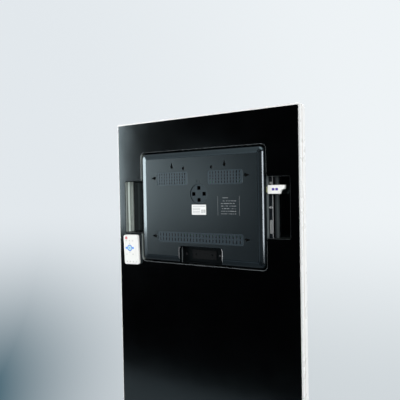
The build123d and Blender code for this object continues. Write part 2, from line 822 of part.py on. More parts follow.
# The other sockets start behind the cover's wall and reach out to its slanted band
reader_face = back_width / 2 + side_flare - cover_wall - port_sink
band_t = cover_depth - cover_rim_t - side_depth
port_reach = back_width / 2 + side_flare + (cover_flare - side_flare) * (port_depth - side_depth) / band_t
socket_t = 2 * (port_depth - board_front)

# Card reader with its long mouth, on the front face of the main board
with BuildPart() as card_reader:
    with BuildSketch(side(reader_face - reader_width, -card_drop, port_depth)):
        Rectangle(socket_t, card_slot_length + 2 * reader_wall)
    extrude(amount=reader_width)
    with BuildSketch(side(reader_face, -card_drop, port_depth)):
        Rectangle(card_slot_t - port_gap, card_slot_length - port_gap)
    extrude(amount=port_reach - port_sink - reader_face)
    with BuildSketch(side(port_reach, -card_drop, port_depth)):
        Rectangle(card_mouth_t, card_slot_length - 2 * reader_wall)
    extrude(amount=-reader_width, mode=Mode.SUBTRACT)
keep(card_reader.part, "card_reader")

# Round jack
with BuildPart() as av_jack:
    with BuildSketch(side(reader_face - jack_length, jack_rise, port_depth)):
        Rectangle(socket_t, socket_t)
    extrude(amount=jack_length)
    with BuildSketch(side(reader_face, jack_rise, port_depth)):
        Circle(jack_r)
    extrude(amount=port_reach - port_sink - reader_face)
    with BuildSketch(side(port_reach, jack_rise, port_depth)):
        Circle(jack_bore_r)
    extrude(amount=-jack_length, mode=Mode.SUBTRACT)
keep(av_jack.part, "av_jack")

# Case of the power switch, with a slot for its knob
with BuildPart() as power_switch_case:
    with BuildSketch(side(reader_face - switch_case_width, switch_middle, port_depth)):
        Rectangle(socket_t, switch_case_length)
    extrude(amount=switch_case_width)
    with BuildSketch(side(reader_face, switch_middle, port_depth)):
        Rectangle(switch_knob_t + 2 * port_gap, switch_slot_length)
    extrude(amount=-switch_knob_t, mode=Mode.SUBTRACT)
keep(power_switch_case.part, "power_switch_case")

# Sliding knob of the power switch, at the upper end of its travel
with BuildPart() as power_switch_knob:
    with BuildSketch(side(port_reach + switch_proud, power_switch_rise, port_depth)):
        Rectangle(switch_knob_t, switch_knob_length)
    extrude(amount=reader_face - switch_knob_t + seat_clearance - port_reach - switch_proud)
    with BuildSketch(side(port_reach + switch_proud, power_switch_rise, port_depth)):
        with GridLocations(1, switch_knob_length / 3, 1, 2):
            Rectangle(switch_knob_t, switch_groove)
    extrude(amount=-switch_groove, mode=Mode.SUBTRACT)
keep(power_switch_knob.part, "power_switch_knob")

# Inlet of the power supply, in the upper wall of the notch
with BuildPart() as power_inlet:
    with BuildSketch(inlet_plane):
        Circle(inlet_r)
        Circle(inlet_bore_r, mode=Mode.SUBTRACT)
    extrude(amount=inlet_length)
    with BuildSketch(inlet_plane):
        Circle(inlet_pin_r)
    extrude(amount=inlet_length)
    with BuildSketch(inlet_plane.offset(inlet_length)):
        Circle(inlet_r)
    extrude(amount=-inlet_back_t)
keep(power_inlet.part, "power_inlet")

# Round socket for the desk foot, with four square holes
with BuildPart() as foot_socket:
    with BuildSketch(depth(disc_face + disc_flange_t)):
        with Locations((foot_x, disc_rise)):
            Circle(disc_r)
    extrude(amount=disc_flange_t)
    with BuildSketch(depth(disc_face + disc_flange_t)):
        with Locations((foot_x, disc_rise)):
            Circle(disc_body_r)
    extrude(amount=-(disc_depth - disc_flange_t - seat_clearance))
    with BuildSketch(depth(disc_face)):
        with Locations((foot_x, disc_rise)):
            with PolarLocations(disc_hole_radius, 4, rotate=False):
                Rectangle(disc_hole, disc_hole)
    extrude(amount=-(disc_depth - disc_floor), mode=Mode.SUBTRACT)
keep(foot_socket.part, "foot_socket")

# Plain label under the socket
with BuildPart() as blank_label:
    with BuildSketch(depth(-back_crown)):
        with Locations((foot_x, -label_drop)):
            RectangleRounded(label_width, label_height, label_corner_r)
    extrude(amount=label_t)
keep(blank_label.part, "blank_label")

# Plate that the desk foot latches into, on the floor of the notch
with BuildPart() as foot_latch_plate:
    with BuildSketch(depth(notch_depth - back_crown)):
        with Locations((foot_x + latch_plate_shift, notch_centre)):
            RectangleRounded(latch_plate_width, latch_plate_height, latch_plate_t)
            with GridLocations(latch_plate_width - latch_plate_height, 1, 2, 1):
                Rectangle(latch_hole, latch_hole, mode=Mode.SUBTRACT)
    extrude(amount=latch_plate_t)
keep(foot_latch_plate.part, "foot_latch_plate")

# Case screws, down in their wells
with BuildPart() as case_screws:
    for spots, seat in ((screw_wells, well_depth - back_crown), (low_wells, notch_depth - back_crown)):
        with BuildSketch(depth(seat)):
            screw_round(case_screw_head_r, spots)
        extrude(amount=case_screw_head_t)
        with BuildSketch(depth(seat)):
            screw_round(case_screw_r, spots)
        extrude(amount=-(chassis_depth + chassis_t - seat))
keep(case_screws.part, "case_screws")

# Memory stick with a scooped corner
stick_end = port_face + stick_neck_length
with BuildPart() as stick_body:
    with BuildSketch(depth(stick_depth + stick_t / 2)):
        with Locations((stick_end + stick_length / 2, usb_rise)):
            Rectangle(stick_length, stick_height)
        fillet(vertices(), stick_corner_r)
        with Locations((stick_end + stick_length, usb_rise - stick_height / 2)):
            Circle(stick_cut, mode=Mode.SUBTRACT)
    extrude(amount=stick_t)
    chamfer(stick_body.faces().filter_by(Axis.Y).edges(), stick_edge)
keep(stick_body.part, "stick_body")

# Translucent neck of the stick
with BuildPart() as stick_neck:
    with BuildSketch(side(port_face + neck_gap, usb_rise, stick_depth)):
        RectangleRounded(stick_neck_t, stick_neck_height, neck_corner_r)
    extrude(amount=stick_neck_length - neck_gap)
keep(stick_neck.part, "stick_neck")

# Plug of the stick: a folded sleeve round a plastic core
core_depth = stick_depth + plug_t / 2 - plug_wall - plug_core_t / 2
with BuildPart() as stick_plug:
    with BuildSketch(side(port_face + neck_gap, usb_rise, stick_depth)):
        Rectangle(plug_t, plug_height)
        Rectangle(plug_t - 2 * plug_wall, plug_height - 2 * plug_wall, mode=Mode.SUBTRACT)
    extrude(amount=-plug_length)
    with BuildSketch(side(port_face + neck_gap, usb_rise, core_depth)):
        Rectangle(plug_core_t, plug_height - 2 * plug_wall)
    extrude(amount=-plug_length)
keep(stick_plug.part, "stick_plug")


def remote(level):
    """Plane over the remote's middle, level above the rear face of the panel."""
    return remote_face.offset(level)


def remote_key(x, y, radius, label):
    """One key: a round cap that stands out of the shell."""
    with BuildPart() as key:
        with BuildSketch(remote(remote_inner_top - key_rest)):
            with Locations((x, y)):
                RegularPolygon(radius, key_sides)
        extrude(amount=key_rest + remote_top_t + key_proud)
    keep(key.part, label)


key_spots = {
    "power_key": (key_columns[0], power_key_y, power_key_r),
    "ok_key": (key_columns[1], ok_key_y, ok_key_r),
}
for i in range(3):
    key_spots[f"upper_key_{i + 1}"] = (key_columns[i], upper_keys_y, key_r)
for name, dx, dy in (("up", 0, 1), ("down", 0, -1), ("left", -1, 0), ("right", 1, 0)):
    key_spots[name + "_key"] = (key_columns[1] + ok_reach * dx, ok_key_y + ok_reach * dy, key_r)
for i in range(2):
    key_spots[f"middle_key_{i + 1}"] = (key_columns[2 * i], middle_keys_y, key_r)
for i in range(4):
    key_spots[f"lower_key_{i + 1}"] = (key_columns[i], lower_keys_y, key_r)

# Front shell of the remote, with a hole for each key and the window of its light
inner_width = remote_width - 2 * remote_wall
inner_height = remote_height - 2 * remote_wall
with BuildPart() as remote_front_shell:
    with BuildSketch(remote(remote_back + remote_split)):
        RectangleRounded(remote_width, remote_height, remote_corner_r)
    extrude(amount=remote_t - remote_split)
    chamfer(remote_front_shell.faces().sort_by(Axis.Y)[-1].edges(), remote_edge)
    with BuildSketch(remote(remote_back + remote_split)):
        RectangleRounded(inner_width, inner_height, remote_corner_r - remote_wall)
    extrude(amount=remote_t - remote_split - remote_top_t, mode=Mode.SUBTRACT)
    with BuildSketch(remote(remote_inner_top)):
        for x, y, radius in key_spots.values():
            with Locations((x, y)):
                RegularPolygon(radius + key_clearance, key_sides)
    extrude(amount=remote_top_t, mode=Mode.SUBTRACT)
    with BuildSketch(remote(remote_inner_top - window_height)):
        with Locations((0, remote_height / 2)):
            Rectangle(window_width, 2 * remote_wall + key_clearance)
    extrude(amount=window_height, mode=Mode.SUBTRACT)
keep(remote_front_shell.part, "remote_front_shell")

# Window of the remote's light, in its upper edge
with BuildPart() as remote_window:
    with BuildSketch(remote(remote_inner_top - window_height)):
        with Locations((0, remote_height / 2 - remote_wall / 2)):
            Rectangle(window_width - key_clearance, remote_wall)
    extrude(amount=window_height)
keep(remote_window.part, "remote_window")

board_level = remote_inner_top - key_rest - key_travel - tray_gap - remote_board_t
tray_mouth = -remote_height / 2
# Rear shell of the remote, open at its lower end for the battery tray
with BuildPart() as remote_back_shell:
    with BuildSketch(remote(remote_back)):
        RectangleRounded(remote_width, remote_height, remote_corner_r)
    extrude(amount=remote_split)
    with BuildSketch(remote(remote_back + remote_floor)):
        RectangleRounded(inner_width, inner_height, remote_corner_r - remote_wall)
    extrude(amount=remote_split - remote_floor, mode=Mode.SUBTRACT)
    with BuildSketch(remote(remote_back + remote_floor)):
        with Locations((0, tray_mouth)):
            Rectangle(tray_width + 2 * tray_gap, 2 * tray_length)
    extrude(amount=remote_split, mode=Mode.SUBTRACT)
    with BuildSketch(remote(remote_back + remote_floor)):
        with GridLocations(remote_width - post_inset, remote_height - post_inset, 2, 2):
            Rectangle(remote_post, remote_post)
    extrude(amount=board_level - remote_back - remote_floor)
keep(remote_back_shell.part, "remote_back_shell")

# Board of the remote, just under its keys
with BuildPart() as remote_board:
    with BuildSketch(remote(board_level)):
        RectangleRounded(inner_width - 2 * board_gap, inner_height - 6 * board_gap, board_corner_r)
    extrude(amount=remote_board_t)
keep(remote_board.part, "remote_board")

# Battery tray that slides out of the lower end, and its cell
tray_level = remote_back + remote_floor + tray_gap
cell_y = tray_mouth + (tray_length + tray_lip_t) / 2
with BuildPart() as battery_tray:
    with BuildSketch(remote(tray_level)):
        with Locations((0, tray_mouth + tray_length / 2)):
            Rectangle(tray_width, tray_length)
    extrude(amount=board_level - tray_gap - tray_level)
    with BuildSketch(remote(tray_level)):
        with Locations((0, cell_y)):
            Circle(cell_r + key_clearance)
    extrude(amount=remote_t, mode=Mode.SUBTRACT)
keep(battery_tray.part, "battery_tray")

with BuildPart() as coin_cell:
    with BuildSketch(remote(tray_level)):
        with Locations((0, cell_y)):
            Circle(cell_r)
    extrude(amount=cell_t)
keep(coin_cell.part, "coin_cell")

# Hook and loop pads that hold the remote on the panel
with BuildPart() as loop_pad:
    with BuildSketch(remote(0)):
        RectangleRounded(pad_width, pad_height, pad_corner_r)
    extrude(amount=pad_t)
keep(loop_pad.part, "loop_pad")

# The remote's own pad
with BuildPart() as hook_pad:
    with BuildSketch(remote(pad_t)):
        RectangleRounded(pad_width, pad_height, pad_corner_r)
    extrude(amount=pad_t)
keep(hook_pad.part, "hook_pad")

for label, spot in key_spots.items():
    remote_key(spot[0], spot[1], spot[2], label)
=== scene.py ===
from math import radians

import bpy
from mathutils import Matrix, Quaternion, Vector


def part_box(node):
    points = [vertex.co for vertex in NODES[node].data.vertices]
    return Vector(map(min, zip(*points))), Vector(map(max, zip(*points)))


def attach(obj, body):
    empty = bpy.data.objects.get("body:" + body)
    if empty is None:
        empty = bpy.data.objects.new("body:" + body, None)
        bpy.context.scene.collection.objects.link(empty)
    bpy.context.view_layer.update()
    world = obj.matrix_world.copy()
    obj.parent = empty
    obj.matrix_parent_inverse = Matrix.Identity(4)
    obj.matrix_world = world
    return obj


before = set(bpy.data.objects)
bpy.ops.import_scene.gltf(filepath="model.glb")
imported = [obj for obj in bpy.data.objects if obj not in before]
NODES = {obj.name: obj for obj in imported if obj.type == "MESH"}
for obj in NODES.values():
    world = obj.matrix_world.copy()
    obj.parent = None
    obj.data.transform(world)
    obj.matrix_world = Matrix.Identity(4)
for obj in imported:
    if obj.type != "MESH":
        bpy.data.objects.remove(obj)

bl_info = {
    "name": "Screen floor stand",
    "version": (1, 0, 0),
    "blender": (4, 2, 0),
    "location": "3D View > Sidebar > Screen stand",
    "description": "Finishes the pieces of a floor stand with a built-in screen and sets the studio round it",
    "category": "Object",
}

KEYS = sorted(name for name in NODES if name.endswith("_key") or "_key_" in name)
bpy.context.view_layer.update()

COVER_LOW, COVER_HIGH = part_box("back_cover")
COVER_MIDDLE = (COVER_LOW + COVER_HIGH) / 2
LABEL_MIDDLE = sum(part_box("blank_label"), Vector()) / 2
REAR_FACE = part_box("rear_skin")[1].y

# All lengths are in metres
MICRON = 0.000001

# The opening in the boards
OPENING_HALF_WIDTH = 0.262
OPENING_MARGIN = 0.012
SLOT_START = 0.1945
BOARDS_DEPTH = 0.040
SEAM_DEPTH = 0.018
LAYER_WANDER = 0.0030
# Layers in the wall of the opening: share of the boards' depth, and factor of the wall's grey
WALL_LAYERS = (
    (0.0, 0.5), (0.08, 1.1), (0.17, 0.9), (0.23, 0.2), (0.29, 0.7), (0.38, 2.5), (0.50, 2.3), (0.58, 0.25),
    (0.65, 1.2), (0.78, 1.0), (0.84, 2.3), (0.90, 1.0), (1.0, 0.7),
)
# The rear cover and the front frame: depths below the cover's rear face, rises from its middle,
# distances on Y from its open edge, and places on X
FACE_DEPTH = 0.0004
VENT_PAD_DEPTH = 0.0006
PRINT_MIDDLE = -0.0915
PRINT_RULE_PLACE = 0.0309
PRINT_ROW_PITCH = 0.0066
NOTCH_RISE = -0.13
NOTCH_HALF_WIDTH = 0.08
NOTCH_DEPTH = 0.006
RIM_PLACE = 0.0006
PORT_BAND_PLACE = 0.0028
STRIPE_PLACE = 0.0115
SIDE_START = 0.189
SIDE_HALF_HEIGHT = 0.13
RIGHT_RIM = -0.1898
FRAME_JOINT_PLACE = 0.2020
FRAME_FLARE_PLACE = 0.2098
SOCKET_FACE_DEPTH = 0.0007
LABEL_ROW_PITCH = 0.0042
# The printed shapes on the moving pieces: the remote hangs a little askew
REMOTE_TURN = radians(2)
PRINT_THICKNESS = 30 * MICRON
BAND_PLACE = Vector((0.0072, 0.0, 0.0006))
BAND_STEP = Vector((-0.0090, 0.0, 0.0))
# The stage
STAND_MIDDLE = (0.0, 0.0, 1.35)
FLOOR_RADIUS = 1.85
FLAG_HEIGHT = 7.0
BEVEL_SHARE = 0.19

# Noise lies between these values nearly everywhere
NOISE_LOW, NOISE_HIGH = 0.3, 0.7
PLAIN = (1.0, 1.0, 1.0, 1.0)
BLACK = (0.0, 0.0, 0.0, 1.0)
PAINTED_SHADE_BLACK = (0.001, 0.001, 0.001, 1.0)
SEAM_BROWN = (0.45, 0.36, 0.28, 1.0)
# Painted light and shade on the cover and the frame: highlights on the rim, port bands, notch edge, side stripe
# and flare, and shade on the notch edge
RIM_PAINTED_HIGHLIGHT = (0.13, 0.14, 0.15, 1.0)
PORT_BAND_PAINTED_LIGHT = (0.34, 0.35, 0.36, 1.0)
NOTCH_EDGE_PAINTED_SHADE = (0.10, 0.105, 0.11, 1.0)
NOTCH_EDGE_PAINTED_HIGHLIGHT = (0.80, 0.82, 0.84, 1.0)
SIDE_STRIPE_PAINTED_LIGHT = (0.10, 0.115, 0.12, 1.0)
FLARE_PAINTED_HIGHLIGHT = (0.045, 0.052, 0.052, 1.0)


class StandColours(bpy.types.PropertyGroup):
    """Colours of the finishes that show."""

    lacquer: bpy.props.FloatVectorProperty(
        name="Lacquer", description="White of the boards", subtype="COLOR", size=4,
        default=(0.83, 0.84, 0.83, 1.0),
    )
    cut_wall: bpy.props.FloatVectorProperty(
        name="Cut wall", description="Grey of the walls of the opening", subtype="COLOR", size=4,
        default=(0.34, 0.39, 0.36, 1.0),
    )
    gloss: bpy.props.FloatVectorProperty(
        name="Gloss sheet", description="Black of the front and rear sheets", subtype="COLOR", size=4,
        default=(0.0003, 0.0003, 0.0004, 1.0),
    )
    milled_edge: bpy.props.FloatVectorProperty(
        name="Milled edge", description="Grey of the sheet's broken edges", subtype="COLOR", size=4,
        default=(0.20, 0.22, 0.23, 1.0),
    )
    sheen: bpy.props.FloatVectorProperty(
        name="Sheen", description="Cool tint of what the dark plastics reflect", subtype="COLOR", size=4,
        default=(0.70, 0.92, 1.0, 1.0),
    )
    print_grey: bpy.props.FloatVectorProperty(
        name="Print", description="Grey of the thin print on the housing", subtype="COLOR", size=4,
        default=(0.20, 0.21, 0.22, 1.0),
    )
    ring_blue: bpy.props.FloatVectorProperty(
        name="Ring", description="Blue print round the middle key", subtype="COLOR", size=4,
        default=(0.04, 0.20, 0.62, 1.0),
    )
    band_purple: bpy.props.FloatVectorProperty(
        name="Band", description="Purple print on the memory stick", subtype="COLOR", size=4,
        default=(0.075, 0.045, 0.30, 1.0),
    )
    slate: bpy.props.FloatVectorProperty(
        name="Slate", description="Plastic of the screen's housing", subtype="COLOR", size=4,
        default=(0.0046, 0.0066, 0.0084, 1.0),
    )
    remote_white: bpy.props.FloatVectorProperty(
        name="Remote", description="White plastic of the remote and its keys", subtype="COLOR", size=4,
        default=(0.80, 0.81, 0.79, 1.0),
    )
    backdrop: bpy.props.FloatVectorProperty(
        name="Backdrop", description="Pale colour behind the stand", subtype="COLOR", size=3,
        default=(0.855, 0.896, 0.920),
    )
    backdrop_left: bpy.props.FloatVectorProperty(
        name="Left backdrop", description="Colour of the backdrop on its dimmer side", subtype="COLOR",
        size=3, default=(0.760, 0.805, 0.840),
    )
    backdrop_low: bpy.props.FloatVectorProperty(
        name="Low backdrop", description="Shade that the backdrop sinks into near the floor", subtype="COLOR",
        size=3, default=(0.010, 0.080, 0.120),
    )


class StandStudio(bpy.types.PropertyGroup):
    """Camera and lamps."""

    camera_place: bpy.props.FloatVectorProperty(
        name="Camera", description="Place of the camera", subtype="XYZ", unit="LENGTH", size=3,
        default=(-0.58636, 0.99021, 1.49745),
    )
    camera_aim: bpy.props.FloatVectorProperty(
        name="Aim", description="Point on the rear face that the camera looks at", subtype="XYZ",
        unit="LENGTH", size=3, default=(-0.00532, REAR_FACE, 1.47522),
    )
    camera_roll: bpy.props.FloatProperty(
        name="Roll", description="Turn of the camera about its view", subtype="ANGLE", unit="ROTATION",
        default=radians(-1.056),
    )
    lens: bpy.props.FloatProperty(
        name="Lens", description="Focal length", subtype="DISTANCE_CAMERA", default=38.30
    )
    key_power: bpy.props.FloatProperty(
        name="Key", description="Power of the tall lamp beside the stand", subtype="POWER", default=65.0
    )
    top_power: bpy.props.FloatProperty(
        name="Top", description="Power of the lamp overhead", subtype="POWER", default=36.0
    )
    glow_power: bpy.props.FloatProperty(
        name="Glow", description="Power of the small lamp that the cover mirrors", subtype="POWER",
        default=2.1,
    )
    fill_power: bpy.props.FloatProperty(
        name="Fill", description="Power of the soft lamp on the camera's side", subtype="POWER", default=56.0
    )
    side_power: bpy.props.FloatProperty(
        name="Side", description="Power of the lamp level with the panel's edge", subtype="POWER",
        default=24.0,
    )
    strip_power: bpy.props.FloatProperty(
        name="Strip", description="Power of the narrow lamp that draws the housing's edge", subtype="POWER",
        default=24.5,
    )
    front_power: bpy.props.FloatProperty(
        name="Front", description="Power of the lamp before the screen", subtype="POWER", default=64.0
    )
    ambient: bpy.props.FloatProperty(
        name="Room light", description="Strength of the light from all round", default=0.15, min=0.0
    )


def add_node(tree, kind, place=(0, 0), **inputs):
    """Adds a shader node and sets the inputs that are named with underscores for spaces."""
    node = tree.nodes.new(kind)
    node.location = place
    for key, value in inputs.items():
        node.inputs[key.replace("_", " ")].default_value = value
    return node


def object_coordinates(tree):
    """The surface's place in the stand's own frame, in metres."""
    return add_node(tree, "ShaderNodeTexCoord", (-1400, 0)).outputs["Object"]


def place_axes(tree):
    """X, Y and Z of the surface's place in the stand's own frame, in metres."""
    place = add_node(tree, "ShaderNodeSeparateXYZ", (-1200, 200))
    tree.links.new(object_coordinates(tree), place.inputs["Vector"])
    return place.outputs


def facing_axes(tree):
    """X, Y and Z of the surface's true normal."""
    normal = add_node(tree, "ShaderNodeSeparateXYZ", (-1000, 400))
    geometry = add_node(tree, "ShaderNodeNewGeometry", (-1200, 400))
    tree.links.new(geometry.outputs["True Normal"], normal.inputs["Vector"])
    return normal.outputs


def math_node(tree, operation, first, second=0.0, third=0.0):
    """One operation on up to three numbers, each a socket or a value."""
    node = tree.nodes.new("ShaderNodeMath")
    node.operation = operation
    for socket, value in zip(node.inputs, (first, second, third)):
        if isinstance(value, bpy.types.NodeSocket):
            tree.links.new(value, socket)
        else:
            socket.default_value = value
    return node.outputs[0]


def size_of(tree, value):
    """A number without its sign."""
    return math_node(tree, "ABSOLUTE", value)


def every(tree, first, *others):
    """The product of masks: one where all of them hold."""
    for other in others:
        first = math_node(tree, "MULTIPLY", first, other)
    return first


def either(tree, first, *others):
    """The largest of masks: one where any of them holds."""
    for other in others:
        first = math_node(tree, "MAXIMUM", first, other)
    return first


def near(tree, coordinate, middle, half, soft=0.00005):
    """One where a coordinate lies within half of the middle, else nought, with a soft edge."""
    distance = size_of(tree, math_node(tree, "SUBTRACT", coordinate, middle))
    reach = add_node(tree, "ShaderNodeMapRange", (-900, 300), From_Min=half - soft, From_Max=half + soft)
    reach.inputs["To Min"].default_value = 1.0
    reach.inputs["To Max"].default_value = 0.0
    tree.links.new(distance, reach.inputs["Value"])
    return reach.outputs["Result"]


def smooth_step(tree, value, start, end):
    """Rises gently from nought at the start to one at the end."""
    reach = add_node(tree, "ShaderNodeMapRange", (-800, 0), From_Min=start, From_Max=end)
    reach.interpolation_type = "SMOOTHSTEP"
    tree.links.new(value, reach.inputs["Value"])
    return reach.outputs["Result"]


def noise(tree, scale, detail=3.0, rough=0.5, stretch=(1.0, 1.0, 1.0)):
    """Noise in the stand's frame, stretched along its axes."""
    mapping = add_node(tree, "ShaderNodeMapping", (-1200, 0), Scale=stretch)
    tree.links.new(object_coordinates(tree), mapping.inputs["Vector"])
    texture = add_node(tree, "ShaderNodeTexNoise", (-1000, 0), Scale=scale, Detail=detail, Roughness=rough)
    tree.links.new(mapping.outputs["Vector"], texture.inputs["Vector"])
    return texture.outputs["Fac"]


def spread(tree, value, low, high):
    """Maps noise to a range of values."""
    reach = add_node(tree, "ShaderNodeMapRange", (-700, -200), From_Min=NOISE_LOW, From_Max=NOISE_HIGH)
    reach.inputs["To Min"].default_value = low
    reach.inputs["To Max"].default_value = high
    tree.links.new(value, reach.inputs["Value"])
    return reach.outputs["Result"]


def blend_colours(tree, factor, first, second):
    """Mixes two colours, each a socket or a value."""
    mix = tree.nodes.new("ShaderNodeMix")
    mix.data_type = "RGBA"
    mix.location = (-450, 200)
    tree.links.new(factor, mix.inputs["Factor"])
    for name, value in (("A", first), ("B", second)):
        socket = [s for s in mix.inputs if s.name == name and s.type == "RGBA"][0]
        if isinstance(value, bpy.types.NodeSocket):
            tree.links.new(value, socket)
        else:
            socket.default_value = value
    return [s for s in mix.outputs if s.type == "RGBA"][0]


def shade(colour, factor):
    """A lighter or darker copy of a colour."""
    return tuple(min(1.0, c * factor) for c in colour[:3]) + (1.0,)


def bump(tree, shader, height, distance):
    """Raises the surface by a height pattern, distance metres deep."""
    relief = add_node(tree, "ShaderNodeBump", (-300, -400), Strength=1.0, Distance=distance)
    tree.links.new(height, relief.inputs["Height"])
    tree.links.new(relief.outputs["Normal"], shader.inputs["Normal"])


def round_edges(tree, shader, radius):
    """Softens the edges of a moulding in the light, as its small radii do."""
    soft = add_node(tree, "ShaderNodeBevel", (-600, -500), Radius=radius)
    soft.samples = 6
    tree.links.new(soft.outputs["Normal"], shader.inputs["Normal"].links[0].from_node.inputs["Normal"])


def base_material(name, roughness, metallic=0.0):
    """A new material, its tree and its shader."""
    material = bpy.data.materials.new(name)
    material.use_nodes = True
    tree = material.node_tree
    shader = tree.nodes["Principled BSDF"]
    shader.inputs["Roughness"].default_value = roughness
    shader.inputs["Metallic"].default_value = metallic
    return material, tree, shader


def moulded(
    name, colour, roughness=0.4, grain=1800.0, depth=10 * MICRON, variation=0.06, specular=0.5, tint=PLAIN
):
    """Moulded plastic or paint: a fine grain, and a slight cloud in its tone and its gloss."""
    material, tree, shader = base_material(name, roughness)
    shader.inputs["Specular IOR Level"].default_value = specular
    shader.inputs["Specular Tint"].default_value = tint
    cloud = noise(tree, 14.0)
    tone = blend_colours(tree, cloud, shade(colour, 1 - variation), shade(colour, 1 + variation))
    tree.links.new(tone, shader.inputs["Base Color"])
    gloss = spread(tree, noise(tree, 60.0), roughness * 0.9, roughness * 1.1)
    tree.links.new(gloss, shader.inputs["Roughness"])
    bump(tree, shader, noise(tree, grain, detail=2.0), depth)
    return material


def brushed(name, colour, roughness=0.35, along=(0.02, 1.0, 1.0)):
    """Metal with fine lines along one axis and a little cloud."""
    material, tree, shader = base_material(name, roughness, 1.0)
    lines = noise(tree, 2500.0, detail=4.0, rough=0.6, stretch=along)
    tone = blend_colours(tree, noise(tree, 40.0), shade(colour, 0.9), shade(colour, 1.08))
    tree.links.new(tone, shader.inputs["Base Color"])
    tree.links.new(spread(tree, lines, roughness * 0.8, roughness * 1.25), shader.inputs["Roughness"])
    bump(tree, shader, lines, 6 * MICRON)
    return material


def lacquered_board(colours):
    """White lacquer with a faint ripple; the walls of the opening show the layers of the board, and painted
    shade darkens their level walls.
    """
    material, tree, shader = base_material("lacquered_board", 0.28)
    x, y, z = place_axes(tree)
    half_height = 0.5 * (COVER_HIGH.z - COVER_LOW.z) + OPENING_MARGIN
    inside = every(tree, near(tree, x, 0.0, OPENING_HALF_WIDTH), near(tree, z, COVER_MIDDLE.z, half_height))
    layers = add_node(
        tree, "ShaderNodeMapRange", (-900, 100), From_Min=REAR_FACE, From_Max=REAR_FACE - BOARDS_DEPTH
    )
    ripple = noise(tree, 90.0, detail=2.0, stretch=(1.0, 1.0, 0.12))
    wander = math_node(tree, "MULTIPLY_ADD", ripple, LAYER_WANDER, -LAYER_WANDER / 2)
    tree.links.new(math_node(tree, "ADD", y, wander), layers.inputs["Value"])
    ramp = tree.nodes.new("ShaderNodeValToRGB")
    ramp.location = (-700, 100)
    steps = ramp.color_ramp.elements
    steps.remove(steps[0])
    steps[0].position = WALL_LAYERS[0][0]
    steps[0].color = shade(colours.cut_wall, WALL_LAYERS[0][1])
    for position, factor in WALL_LAYERS[1:]:
        steps.new(position).color = shade(colours.cut_wall, factor)
    tree.links.new(layers.outputs["Result"], ramp.inputs["Fac"])
    cloud = blend_colours(tree, noise(tree, 5.0), shade(colours.lacquer, 0.98), shade(colours.lacquer, 1.01))
    seam = near(tree, y, REAR_FACE - SEAM_DEPTH, 0.0012, soft=0.0008)
    cloud = blend_colours(tree, every(tree, seam, 0.8), cloud, SEAM_BROWN)
    # Painted shade: the level walls of the opening are made nearly black; only the upright walls show the
    # board's layers
    upright = math_node(tree, "LESS_THAN", size_of(tree, facing_axes(tree)["Z"]), 0.6)
    wall_with_painted_shade = blend_colours(tree, upright, shade(colours.cut_wall, 0.03), ramp.outputs["Color"])
    tree.links.new(blend_colours(tree, inside, cloud, wall_with_painted_shade), shader.inputs["Base Color"])
    gloss = spread(tree, noise(tree, 30.0), 0.25, 0.32)
    tree.links.new(gloss, shader.inputs["Roughness"])
    bump(tree, shader, noise(tree, 45.0, detail=1.0), 12 * MICRON)
    return material


def gloss_sheet(colours):
    """Black gloss sheet whose broken edges are milled and paler, with painted shade darkening them beside the
    slots.
    """
    material, tree, shader = base_material("gloss_sheet", 0.16)
    shader.inputs["Specular Tint"].default_value = colours.sheen
    # Painted shade: the milled edges beside the slots are darkened to about an eighth of their grey
    beside_slots_painted_shade = math_node(tree, "GREATER_THAN", size_of(tree, place_axes(tree)["X"]), SLOT_START)
    milled = blend_colours(tree, beside_slots_painted_shade, colours.milled_edge, shade(colours.milled_edge, 0.12))
    edge = math_node(tree, "LESS_THAN", size_of(tree, facing_axes(tree)["Y"]), 0.98)
    face = blend_colours(tree, noise(tree, 8.0), shade(colours.gloss, 0.8), shade(colours.gloss, 1.3))
    tree.links.new(blend_colours(tree, edge, face, milled), shader.inputs["Base Color"])
    smear = spread(tree, noise(tree, 18.0, detail=4.0), 0.12, 0.15)
    tree.links.new(math_node(tree, "MULTIPLY_ADD", edge, 0.3, smear), shader.inputs["Roughness"])
    tree.links.new(math_node(tree, "MULTIPLY_ADD", edge, -0.25, 0.5), shader.inputs["Specular IOR Level"])
    bump(tree, shader, noise(tree, 12.0, detail=2.0), 60 * MICRON)
    return material


def cover_print(tree, x, y, rise):
    """Where the cover's rear face is printed: two upright rules, with broken rows and a head line between."""
    face = math_node(tree, "GREATER_THAN", y, COVER_HIGH.y - FACE_DEPTH)
    across = math_node(tree, "SUBTRACT", x, PRINT_MIDDLE)
    rules = near(tree, size_of(tree, across), PRINT_RULE_PLACE, 0.0003)
    rules = every(tree, rules, near(tree, rise, 0.004, 0.025))
    row = math_node(tree, "FRACT", math_node(tree, "MULTIPLY_ADD", rise, 1 / PRINT_ROW_PITCH, 20.0))
    breaks = noise(tree, 420.0, detail=0.0, stretch=(1.0, 0.0, 0.35))
    rows = every(
        tree,
        near(tree, row, 0.5, 0.13, soft=0.03),
        near(tree, rise, 0.0, 0.0185),
        near(tree, across, 0.0, 0.0215),
        math_node(tree, "GREATER_THAN", breaks, 0.46),
    )
    head = every(tree, near(tree, rise, 0.0245, 0.0007), near(tree, across, 0.009, 0.008))
    return every(tree, face, either(tree, rules, rows, head))


